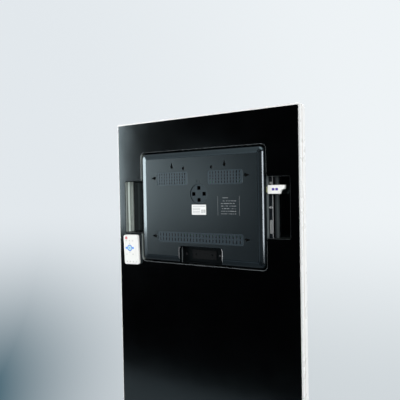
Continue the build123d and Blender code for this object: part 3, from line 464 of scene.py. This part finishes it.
def cover_edges(tree, x, y, rise, lean, tone):
    """The cover's tone with painted highlights on its rim and on its port bands at the sides, and painted light
    and shade on the edges of its notch.
    """
    # A painted highlight: a thin pale line along the cover's rim, where the light catches its edge
    rim_highlight = near(tree, y, COVER_LOW.y + RIM_PLACE, 0.0007, soft=0.0002)
    tone = blend_colours(tree, rim_highlight, tone, RIM_PAINTED_HIGHLIGHT)
    # Painted light on the port bands at the cover's sides: a paler grey that rises towards the rim
    band = every(
        tree,
        smooth_step(tree, y, COVER_LOW.y + PORT_BAND_PLACE, COVER_LOW.y + RIM_PLACE),
        near(tree, rise, 0.0, SIDE_HALF_HEIGHT, soft=0.01),
        math_node(tree, "GREATER_THAN", size_of(tree, x), SIDE_START),
    )
    tone = blend_colours(tree, band, tone, PORT_BAND_PAINTED_LIGHT)
    # Painted light and shade on the notch's side walls: a pale painted highlight on the right half, painted
    # shade on the left
    notch_edge_painted_light = every(
        tree,
        near(tree, lean, 0.7, 0.15),
        near(tree, rise, NOTCH_RISE, 0.027),
        near(tree, x, 0.0, NOTCH_HALF_WIDTH),
    )
    right_half = math_node(tree, "LESS_THAN", x, 0.0)
    notch_edge_light_tone = blend_colours(tree, right_half, NOTCH_EDGE_PAINTED_SHADE, NOTCH_EDGE_PAINTED_HIGHLIGHT)
    return blend_colours(tree, notch_edge_painted_light, tone, notch_edge_light_tone)


def housing_plastic(colours):
    """Slate plastic of the rear cover: fine grain, paler vent fields, thin print, painted shade in its notch
    and painted light on its edges and sides.
    """
    material, tree, shader = base_material("housing_plastic", 0.28)
    shader.inputs["Specular Tint"].default_value = colours.sheen
    x, y, z = place_axes(tree)
    rise = math_node(tree, "SUBTRACT", z, COVER_MIDDLE.z)
    facing = facing_axes(tree)
    lean = size_of(tree, facing["X"])
    field = near(tree, y, COVER_HIGH.y - VENT_PAD_DEPTH, 0.0001)
    cloud = blend_colours(tree, noise(tree, 9.0), shade(colours.slate, 0.9), shade(colours.slate, 1.1))
    tone = blend_colours(tree, field, cloud, shade(colours.slate, 4.0))
    tone = blend_colours(tree, cover_print(tree, x, y, rise), tone, colours.print_grey)
    tone = cover_edges(tree, x, y, rise, lean, tone)
    # Painted shade: deep in the notch the slate is darkened most of the way to black, and its gloss is lowered
    # below
    notch_painted_shade = every(
        tree,
        near(tree, x, 0.0, NOTCH_HALF_WIDTH),
        near(tree, rise, NOTCH_RISE, 0.035),
        math_node(tree, "LESS_THAN", y, COVER_HIGH.y - NOTCH_DEPTH),
    )
    tone = blend_colours(tree, every(tree, notch_painted_shade, 0.75), tone, BLACK)
    # A paler stripe painted along the cover's sides, standing in for the light that falls on them
    side = math_node(tree, "GREATER_THAN", lean, 0.9)
    side_stripe_light = every(tree, side, near(tree, y, COVER_LOW.y + STRIPE_PLACE, 0.0045, soft=0.0015))
    tone = blend_colours(tree, side_stripe_light, tone, SIDE_STRIPE_PAINTED_LIGHT)
    tree.links.new(tone, shader.inputs["Base Color"])
    flat = math_node(tree, "GREATER_THAN", size_of(tree, facing["Y"]), 0.995)
    gloss = math_node(tree, "MULTIPLY_ADD", flat, 0.15, spread(tree, noise(tree, 45.0), 0.13, 0.15))
    tree.links.new(gloss, shader.inputs["Roughness"])
    under = smooth_step(tree, facing["Z"], -0.08, -0.2)
    dull = either(tree, under, notch_painted_shade, near(tree, x, RIGHT_RIM, 0.0038, soft=0.0004))
    tree.links.new(math_node(tree, "MULTIPLY_ADD", dull, -0.45, 0.60), shader.inputs["Specular IOR Level"])
    bump(tree, shader, noise(tree, 1400.0, detail=2.0), 2 * MICRON)
    round_edges(tree, shader, 0.0008)
    return material


def frame_plastic(colours):
    """Dark plastic of the front frame, with painted shade that makes its shadow joint black and a painted
    highlight that makes it paler along its flared sides.
    """
    material = moulded("frame_plastic", shade(colours.slate, 1.6), 0.6, specular=0.3, tint=colours.sheen)
    tree = material.node_tree
    shader = tree.nodes["Principled BSDF"]
    side = size_of(tree, place_axes(tree)["X"])
    # A painted highlight along the flared sides, and painted shade in the shadow joint
    flare_highlight = near(tree, side, FRAME_FLARE_PLACE, 0.0022, soft=0.0014)
    joint_painted_shade = near(tree, side, FRAME_JOINT_PLACE, 0.0024, soft=0.0004)
    tone = blend_colours(tree, flare_highlight, shade(colours.slate, 0.8), FLARE_PAINTED_HIGHLIGHT)
    tree.links.new(blend_colours(tree, joint_painted_shade, tone, PAINTED_SHADE_BLACK), shader.inputs["Base Color"])
    tree.links.new(math_node(tree, "MULTIPLY_ADD", joint_painted_shade, -0.25, 0.3), shader.inputs["Specular IOR Level"])
    return material


def socket_plastic(colours):
    """Slate plastic of the round socket, with painted shade that makes it black inside its holes."""
    material, tree, shader = base_material("socket_plastic", 0.28)
    shader.inputs["Specular Tint"].default_value = colours.sheen
    # Painted shade: below the socket's face, inside its holes, the plastic is made nearly black and its gloss
    # is lowered
    deep = math_node(tree, "LESS_THAN", place_axes(tree)["Y"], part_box("foot_socket")[1].y - SOCKET_FACE_DEPTH)
    cloud = blend_colours(tree, noise(tree, 9.0), shade(colours.slate, 2.2), shade(colours.slate, 2.8))
    tree.links.new(blend_colours(tree, deep, cloud, PAINTED_SHADE_BLACK), shader.inputs["Base Color"])
    tree.links.new(math_node(tree, "MULTIPLY_ADD", deep, -0.5, 0.52), shader.inputs["Specular IOR Level"])
    bump(tree, shader, noise(tree, 1400.0, detail=2.0), 2 * MICRON)
    return material


def ruled_label(colours):
    """White paper with a thin grey head line, short rules and a block of fine bars."""
    material, tree, shader = base_material("label_paper", 0.45)
    place = place_axes(tree)
    rise = math_node(tree, "SUBTRACT", place["Z"], LABEL_MIDDLE.z)
    along = math_node(tree, "SUBTRACT", place["X"], LABEL_MIDDLE.x)
    head = every(tree, near(tree, rise, 0.0095, 0.0006), near(tree, along, 0.0, 0.019))
    row = math_node(tree, "FRACT", math_node(tree, "MULTIPLY_ADD", rise, 1 / LABEL_ROW_PITCH, 20.5))
    rows = every(
        tree,
        near(tree, row, 0.5, 0.11, soft=0.03),
        near(tree, rise, -0.0021, 0.0084),
        near(tree, along, 0.0075, 0.0115),
    )
    bars = math_node(tree, "GREATER_THAN", noise(tree, 1400.0, detail=0.0, stretch=(1.0, 0.0, 0.0)), 0.5)
    bars = every(tree, bars, near(tree, rise, -0.004, 0.0045), near(tree, along, -0.0135, 0.0065))
    paper = blend_colours(tree, noise(tree, 14.0), (0.80, 0.82, 0.81, 1.0), (0.84, 0.86, 0.85, 1.0))
    ink = either(tree, bars, head, rows)
    tree.links.new(blend_colours(tree, ink, paper, colours.print_grey), shader.inputs["Base Color"])
    bump(tree, shader, noise(tree, 500.0, detail=2.0), 10 * MICRON)
    return material


def board_laminate():
    """Circuit board: green varnish with a pattern of tracks."""
    material, tree, shader = base_material("circuit_board", 0.35)
    tracks = add_node(tree, "ShaderNodeTexBrick", (-900, 0), Scale=160.0)
    tracks.inputs["Color1"].default_value = (0.012, 0.10, 0.045, 1.0)
    tracks.inputs["Color2"].default_value = (0.016, 0.13, 0.06, 1.0)
    tracks.inputs["Mortar"].default_value = (0.03, 0.20, 0.09, 1.0)
    turn = add_node(tree, "ShaderNodeMapping", (-1100, 0), Rotation=(radians(90), 0.0, 0.0))
    tree.links.new(object_coordinates(tree), turn.inputs["Vector"])
    tree.links.new(turn.outputs["Vector"], tracks.inputs["Vector"])
    tree.links.new(tracks.outputs["Color"], shader.inputs["Base Color"])
    bump(tree, shader, tracks.outputs["Fac"], 30 * MICRON)
    return material


def woven_pad():
    """Hook and loop tape: a dark, hairy weave."""
    material, tree, shader = base_material("hook_and_loop", 0.95)
    hairs = noise(tree, 1500.0, detail=4.0, rough=0.8)
    tone = blend_colours(tree, hairs, (0.008, 0.008, 0.009, 1.0), (0.05, 0.05, 0.055, 1.0))
    tree.links.new(tone, shader.inputs["Base Color"])
    bump(tree, shader, noise(tree, 2200.0, detail=4.0, rough=0.8), 300 * MICRON)
    return material


def tinted_glass():
    """Dark front glass of the display, nearly a mirror."""
    material, tree, shader = base_material("display_glass", 0.09)
    tone = blend_colours(tree, noise(tree, 6.0), (0.006, 0.007, 0.009, 1.0), (0.010, 0.012, 0.014, 1.0))
    tree.links.new(tone, shader.inputs["Base Color"])
    tree.links.new(spread(tree, noise(tree, 25.0), 0.08, 0.11), shader.inputs["Roughness"])
    return material


def clear_neck():
    """Greenish clear plastic between the stick's body and its plug."""
    material, tree, shader = base_material("clear_neck", 0.18)
    tone = blend_colours(tree, noise(tree, 90.0), (0.50, 0.56, 0.28, 1.0), (0.58, 0.62, 0.36, 1.0))
    tree.links.new(tone, shader.inputs["Base Color"])
    shader.inputs["Transmission Weight"].default_value = 0.45
    shader.inputs["IOR"].default_value = 1.49
    return material


def dress(material, *names):
    """Gives a finish to CAD nodes."""
    for name in names:
        for slot in NODES[name].material_slots:
            slot.material = material


def deselect_all():
    """Leaves nothing selected or in edit mode."""
    if bpy.context.object and bpy.context.object.mode != "OBJECT":
        bpy.ops.object.mode_set(mode="OBJECT")
    bpy.ops.object.select_all(action="DESELECT")


def print_mark(name, sides, radius, face, turn=0.0, stretch=1.0, ring=0.0):
    """A thin printed shape on a rear face: a polygon, stretched along its own X, or a ring."""
    deselect_all()
    bpy.ops.mesh.primitive_circle_add(vertices=sides, radius=radius, fill_type="NGON", location=face)
    mark = bpy.context.object
    mark.name = name
    if sides == 4:
        # Turned first, so that a stretched square is a bar and no lozenge
        mark.rotation_euler.z = radians(45)
        bpy.ops.object.transform_apply(location=False, rotation=True, scale=False)
    mark.scale.x = stretch
    bpy.ops.object.transform_apply(location=False, rotation=False, scale=True)
    mark.rotation_euler = (radians(90), -turn, radians(180))
    bpy.ops.object.transform_apply(location=False, rotation=True, scale=False)
    bpy.ops.object.mode_set(mode="EDIT")
    bpy.ops.mesh.select_all(action="SELECT")
    if ring:
        bpy.ops.mesh.inset(thickness=ring)
        bpy.ops.mesh.delete(type="FACE")
        bpy.ops.mesh.select_all(action="SELECT")
    bpy.ops.mesh.extrude_region_move(TRANSFORM_OT_translate={"value": (0.0, PRINT_THICKNESS, 0.0)})
    bpy.ops.mesh.select_all(action="SELECT")
    bpy.ops.mesh.normals_make_consistent(inside=False)
    bpy.ops.object.mode_set(mode="OBJECT")
    bpy.ops.object.transform_apply(location=True, rotation=False, scale=False)
    return mark


def copy_mark(mark, name, move):
    """A copy of a printed shape with a mesh of its own, moved by a vector."""
    deselect_all()
    mark.select_set(True)
    bpy.context.view_layer.objects.active = mark
    bpy.ops.object.duplicate(linked=False)
    copy = bpy.context.object
    copy.name = name
    bpy.ops.transform.translate(value=move)
    bpy.ops.object.transform_apply(location=True, rotation=False, scale=False)
    return copy


def rear_centre(name):
    """The middle of a node's rear face, sunk by a third of a print's thickness."""
    low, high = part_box(name)
    return Vector(((low.x + high.x) / 2, high.y - PRINT_THICKNESS / 3, (low.z + high.z) / 2))


class STAND_OT_boards(bpy.types.Operator):
    """Lacquers the boards and gives the gloss to the sheets"""

    bl_idname = "screen_stand.boards"
    bl_label = "Boards and sheets"

    def execute(self, context):
        colours = context.scene.stand_colours
        dress(lacquered_board(colours), "rear_board", "front_board")
        dress(gloss_sheet(colours), "rear_skin", "front_skin")
        rubber = moulded("grommet_rubber", (0.012, 0.012, 0.013), 0.6, grain=900.0, depth=20 * MICRON)
        dress(rubber, "cable_grommet")
        dress(moulded("grey_foam", (0.06, 0.06, 0.065), 0.9, grain=700.0, depth=200 * MICRON), "foam_strips")
        return {"FINISHED"}


class STAND_OT_base(bpy.types.Operator):
    """Paints the base plate and finishes its glides and screws"""

    bl_idname = "screen_stand.base"
    bl_label = "Base"

    def execute(self, context):
        lacquer = context.scene.stand_colours.lacquer
        paint = moulded("painted_steel", lacquer, 0.42, grain=1200.0, depth=20 * MICRON, variation=0.02)
        dress(paint, "base_plate")
        rubber = moulded("glide_rubber", (0.014, 0.014, 0.015), 0.7, grain=600.0, depth=30 * MICRON)
        dress(rubber, "base_glides")
        dress(brushed("zinc_steel", (0.62, 0.62, 0.60), 0.3), "base_screws", "board_screws")
        dress(brushed("blackened_steel", (0.05, 0.05, 0.055), 0.45), "case_screws")
        dress(brushed("brass", (0.70, 0.52, 0.24), 0.32, along=(1.0, 1.0, 0.02)), "base_inserts")
        return {"FINISHED"}


class STAND_OT_housing(bpy.types.Operator):
    """Finishes the housing of the screen and what is fixed to its rear"""

    bl_idname = "screen_stand.housing"
    bl_label = "Screen housing"

    def execute(self, context):
        colours = context.scene.stand_colours
        dress(housing_plastic(colours), "back_cover")
        dress(frame_plastic(colours), "front_frame")
        dress(socket_plastic(colours), "foot_socket")
        dress(ruled_label(colours), "blank_label")
        black = shade(colours.slate, 0.4)
        latch = moulded("latch_black", black, 0.5, grain=900.0, depth=20 * MICRON, specular=0.09)
        dress(latch, "foot_latch_plate")
        return {"FINISHED"}


class STAND_OT_electronics(bpy.types.Operator):
    """Finishes what is inside the housing, and its sockets"""

    bl_idname = "screen_stand.electronics"
    bl_label = "Electronics"

    def execute(self, context):
        dress(tinted_glass(), "screen_glass")
        dress(brushed("display_pan", (0.55, 0.56, 0.57), 0.4), "lcd_module")
        dress(moulded("painted_chassis", (0.012, 0.012, 0.013), 0.5), "chassis_plate")
        dress(board_laminate(), "main_board", "remote_board")
        dress(brushed("socket_shell", (0.5, 0.5, 0.5), 0.3), "usb_port", "board_standoffs")
        dress(moulded("socket_black", (0.012, 0.012, 0.013), 0.4), "power_inlet", "power_switch_case")
        grey = moulded("socket_grey", (0.27, 0.28, 0.28), 0.4, grain=900.0)
        dress(grey, "power_switch_knob", "card_reader", "av_jack")
        dress(moulded("speaker_cone", (0.015, 0.015, 0.016), 0.7, grain=800.0, depth=50 * MICRON), "speakers")
        dress(moulded("receiver_lens", (0.02, 0.004, 0.006), 0.08), "receiver_eye", "remote_window")
        return {"FINISHED"}


class STAND_OT_stick(bpy.types.Operator):
    """Finishes the memory stick"""

    bl_idname = "screen_stand.stick"
    bl_label = "Memory stick"

    def execute(self, context):
        pale = (0.83, 0.84, 0.82)
        white = moulded("stick_white", pale, 0.3, grain=1500.0, depth=6 * MICRON, variation=0.02)
        dress(white, "stick_body")
        dress(clear_neck(), "stick_neck")
        dress(brushed("plug_steel", (0.66, 0.66, 0.66), 0.25), "stick_plug")
        ink = moulded("purple_ink", context.scene.stand_colours.band_purple, 0.35)
        band = print_mark("stick_band", 4, 0.0042, rear_centre("stick_body") + BAND_PLACE, stretch=1.1)
        end = copy_mark(band, "stick_band_end", BAND_STEP)
        for piece in (band, end):
            piece.data.materials.append(ink)
            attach(piece, "usb_stick")
        return {"FINISHED"}


class STAND_OT_remote(bpy.types.Operator):
    """Finishes the remote, its keys and the pads that hold it"""

    bl_idname = "screen_stand.remote"
    bl_label = "Remote"

    def execute(self, context):
        colours = context.scene.stand_colours
        white = moulded("remote_white", colours.remote_white, 0.38, grain=1600.0, variation=0.015)
        dress(white, "remote_front_shell", "remote_back_shell", "battery_tray")
        pale = shade(colours.remote_white, 0.95)
        dress(moulded("key_white", pale, 0.5, grain=1600.0, variation=0.02), *KEYS)
        dress(moulded("key_red", (0.60, 0.012, 0.035), 0.4, grain=1600.0, variation=0.04), "power_key")
        dress(moulded("key_blue", (0.42, 0.72, 0.86), 0.4, grain=1600.0, variation=0.04), "ok_key")
        deep = shade(colours.ring_blue, 1.7)
        dress(moulded("key_deep_blue", deep, 0.4, grain=1600.0, variation=0.04), "left_key", "right_key")
        dress(woven_pad(), "loop_pad", "hook_pad")
        dress(brushed("cell_steel", (0.66, 0.66, 0.65), 0.25), "coin_cell")
        self.ring(moulded("ring_ink", colours.ring_blue, 0.4))
        self.marks(moulded("mark_ink", (0.13, 0.14, 0.16), 0.45))
        return {"FINISHED"}

    def ring(self, ink):
        """The blue ring printed round the middle key."""
        middle = rear_centre("ok_key")
        middle.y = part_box("remote_front_shell")[1].y - PRINT_THICKNESS / 3
        ring = print_mark("key_ring_print", 96, 0.0092, middle, ring=0.0026)
        ring.data.materials.append(ink)
        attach(ring, "remote")

    def marks(self, ink):
        """A plain mark on each key: arrows round the middle key, a lozenge on it and bars on the rest."""
        marks = {}
        for name, degrees in (("up_key", 0), ("left_key", 90), ("down_key", 180), ("right_key", 270)):
            turn = radians(degrees) + REMOTE_TURN
            marks[name] = print_mark(name + "_mark", 3, 0.0014, rear_centre(name), turn)
        turn = radians(45) + REMOTE_TURN
        marks["ok_key"] = print_mark("ok_key_mark", 4, 0.0024, rear_centre("ok_key"), turn, ring=0.0006)
        marks["power_key"] = print_mark("power_key_mark", 48, 0.0020, rear_centre("power_key"), ring=0.0005)
        plain = [name for name in KEYS if name not in marks]
        first = rear_centre(plain[0])
        bar = print_mark(plain[0] + "_mark", 4, 0.0007, first, REMOTE_TURN, stretch=3.2)
        marks[plain[0]] = bar
        for name in plain[1:]:
            marks[name] = copy_mark(bar, name + "_mark", rear_centre(name) - first)
        pale = moulded("pale_ink", (0.82, 0.84, 0.86), 0.45)
        for name, mark in marks.items():
            mark.data.materials.append(pale if name == "power_key" else ink)
            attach(mark, name + "_body")


class STAND_OT_stage(bpy.types.Operator):
    """Sets the floor, the lamps, two dark flags, the backdrop's colour and the camera"""

    bl_idname = "screen_stand.stage"
    bl_label = "Studio"

    def execute(self, context):
        colours = context.scene.stand_colours
        studio = context.scene.stand_studio
        self.floor(colours.backdrop)
        self.flag("rear_flag", (2.1, 6.0, 1.2), 12.7, 0.0)
        self.flag("side_flag", (-4.3, 3.9, 1.2), 3.6, radians(48))
        self.world(context.scene, colours, studio.ambient)
        self.lamp("key_lamp", (2.475, 1.485, 1.83), (0.0, 0.0, 1.83), (1.4, 1.36), studio.key_power)
        self.lamp("top_lamp", (-0.6, 2.6, 3.6), STAND_MIDDLE, (2.4, 1.6), studio.top_power)
        self.lamp("side_lamp", (-3.1, 0.1, 1.7), STAND_MIDDLE, (0.8, 2.0), studio.side_power)
        fill = self.lamp("fill_lamp", (-2.6, 1.6, 1.7), STAND_MIDDLE, (1.0, 1.6), studio.fill_power)
        fill.visible_glossy = False
        aim = (-0.2, 0.0, 1.55)
        strip = self.lamp("strip_lamp", (-1.57, 2.63, 1.55), aim, (0.30, 1.22), studio.strip_power)
        strip.visible_diffuse = False
        strip.data.color = (1.0, 0.84, 0.84)
        self.lamp("glow_lamp", (1.56, 2.6, 1.53), (0.0, 0.0, 1.46), (0.45, 0.52), studio.glow_power)
        bevel_power = BEVEL_SHARE * studio.glow_power
        bevel = self.lamp("bevel_lamp", (-0.27, 2.6, 1.5), (-0.18, 0.0, 1.46), (0.4, 1.2), bevel_power)
        bevel.visible_diffuse = False
        self.lamp("front_lamp", (1.0, -3.4, 2.6), STAND_MIDDLE, (3.0, 2.0), studio.front_power)
        self.camera(context.scene, studio)
        return {"FINISHED"}

    def floor(self, colour):
        """A pale disc that takes the stand's shadow."""
        deselect_all()
        bpy.ops.mesh.primitive_circle_add(
            vertices=96, radius=FLOOR_RADIUS, fill_type="NGON", location=(0.0, 0.0, 0.0)
        )
        floor = bpy.context.object
        floor.name = "studio_floor"
        material, tree, shader = base_material("studio_floor", 0.7)
        tone = blend_colours(tree, noise(tree, 3.0), shade(colour, 0.83), shade(colour, 0.85))
        tree.links.new(tone, shader.inputs["Base Color"])
        floor.data.materials.append(material)

    def flag(self, name, place, width, turn):
        """A black cloth far behind the camera, which only glossy surfaces see."""
        deselect_all()
        bpy.ops.mesh.primitive_plane_add(size=1.0, location=place, rotation=(radians(90), 0.0, turn))
        flag = bpy.context.object
        flag.name = name
        flag.scale = (width, FLAG_HEIGHT, 1.0)
        bpy.ops.object.transform_apply(location=True, rotation=True, scale=True)
        material, tree, shader = base_material("dark_cloth", 0.9)
        tone = blend_colours(tree, noise(tree, 4.0), (0.003, 0.003, 0.003, 1.0), (0.005, 0.005, 0.005, 1.0))
        tree.links.new(tone, shader.inputs["Base Color"])
        shader.inputs["Specular IOR Level"].default_value = 0.0
        flag.data.materials.append(material)
        flag.visible_camera = False
        flag.visible_diffuse = False
        flag.visible_shadow = False
        flag.visible_transmission = False

    def backdrop_tone(self, tree, colours):
        """The backdrop's colour by the direction of sight, whose x runs to the picture's left and z up."""
        place = add_node(tree, "ShaderNodeSeparateXYZ", (-1200, 0))
        sight = add_node(tree, "ShaderNodeTexCoord", (-1400, 0)).outputs["Generated"]
        tree.links.new(sight, place.inputs["Vector"])
        x, y, z = place.outputs
        left = smooth_step(tree, x, 0.11, 0.82)
        tone = blend_colours(tree, left, shade(colours.backdrop, 1.0), shade(colours.backdrop_left, 1.0))
        # The shade near the floor is faint behind the stand and full in the corner on the left
        corner = math_node(tree, "MAXIMUM", math_node(tree, "SUBTRACT", x, 0.55), 0.0)
        corner = every(tree, corner, corner, smooth_step(tree, y, -0.3, -0.5))
        depth = math_node(tree, "MINIMUM", math_node(tree, "MULTIPLY_ADD", corner, 14.0, 0.27), 1.0)
        shadow = every(tree, depth, smooth_step(tree, z, -0.03, -0.45))
        return blend_colours(tree, shadow, tone, shade(colours.backdrop_low, 1.0))

    def world(self, scene, colours, ambient):
        """Shows the backdrop to the eye and in reflections, and lights the rest dimly."""
        world = bpy.data.worlds.new("studio_world")
        scene.world = world
        world.use_nodes = True
        tree = world.node_tree
        ground = tree.nodes["Background"]
        tree.links.new(self.backdrop_tone(tree, colours), ground.inputs["Color"])
        ground.inputs["Strength"].default_value = 1.0
        cool = (0.95, 0.98, 1.0, 1.0)
        light = add_node(tree, "ShaderNodeBackground", (-200, -200), Color=cool, Strength=ambient)
        rays = tree.nodes.new("ShaderNodeLightPath").outputs
        seen = either(tree, rays["Is Camera Ray"], rays["Is Glossy Ray"], rays["Is Transmission Ray"])
        mix = tree.nodes.new("ShaderNodeMixShader")
        tree.links.new(seen, mix.inputs[0])
        tree.links.new(light.outputs[0], mix.inputs[1])
        tree.links.new(ground.outputs[0], mix.inputs[2])
        tree.links.new(mix.outputs[0], tree.nodes["World Output"].inputs["Surface"])

    def lamp(self, name, place, aim, size, power):
        """A soft box that faces the stand and isn't seen itself."""
        light = bpy.data.lights.new(name, "AREA")
        light.shape = "RECTANGLE"
        light.size, light.size_y = size
        light.energy = power
        lamp = bpy.data.objects.new(name, light)
        lamp.location = place
        lamp.rotation_euler = (Vector(aim) - Vector(place)).to_track_quat("-Z", "Y").to_euler()
        lamp.visible_camera = False
        bpy.context.scene.collection.objects.link(lamp)
        return lamp

    def camera(self, scene, studio):
        """Sets the scene's camera from its place, its aim, its roll and its lens."""
        data = bpy.data.cameras.new("camera")
        data.sensor_width = 36.0
        data.lens = studio.lens
        camera = bpy.data.objects.new("camera", data)
        place = Vector(studio.camera_place)
        sight = Vector(studio.camera_aim) - place
        camera.location = place
        turn = sight.to_track_quat("-Z", "Y") @ Quaternion((0.0, 0.0, 1.0), studio.camera_roll)
        camera.rotation_euler = turn.to_euler()
        scene.collection.objects.link(camera)
        scene.camera = camera
        scene.view_settings.view_transform = "Standard"


OPERATORS = (
    STAND_OT_boards,
    STAND_OT_base,
    STAND_OT_housing,
    STAND_OT_electronics,
    STAND_OT_stick,
    STAND_OT_remote,
    STAND_OT_stage,
)


class STAND_PT_panel(bpy.types.Panel):
    """Sidebar panel with the colours, the studio and a button for each step."""

    bl_label = "Screen stand"
    bl_idname = "STAND_PT_panel"
    bl_space_type = "VIEW_3D"
    bl_region_type = "UI"
    bl_category = "Screen stand"

    def draw(self, context):
        for group in (context.scene.stand_colours, context.scene.stand_studio):
            box = self.layout.box()
            for name in group.bl_rna.properties.keys():
                if name not in ("rna_type", "name"):
                    box.prop(group, name)
        for operator in OPERATORS:
            self.layout.operator(operator.bl_idname)


CLASSES = (StandColours, StandStudio, *OPERATORS, STAND_PT_panel)


def register():
    for item in CLASSES:
        bpy.utils.register_class(item)
    bpy.types.Scene.stand_colours = bpy.props.PointerProperty(type=StandColours)
    bpy.types.Scene.stand_studio = bpy.props.PointerProperty(type=StandStudio)


def unregister():
    del bpy.types.Scene.stand_studio
    del bpy.types.Scene.stand_colours
    for item in reversed(CLASSES):
        bpy.utils.unregister_class(item)


def main():
    """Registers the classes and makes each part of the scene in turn."""
    register()
    deselect_all()
    bpy.ops.screen_stand.boards()
    bpy.ops.screen_stand.base()
    bpy.ops.screen_stand.housing()
    bpy.ops.screen_stand.electronics()
    bpy.ops.screen_stand.stick()
    bpy.ops.screen_stand.remote()
    bpy.ops.screen_stand.stage()


if __name__ == "__main__":
    main()
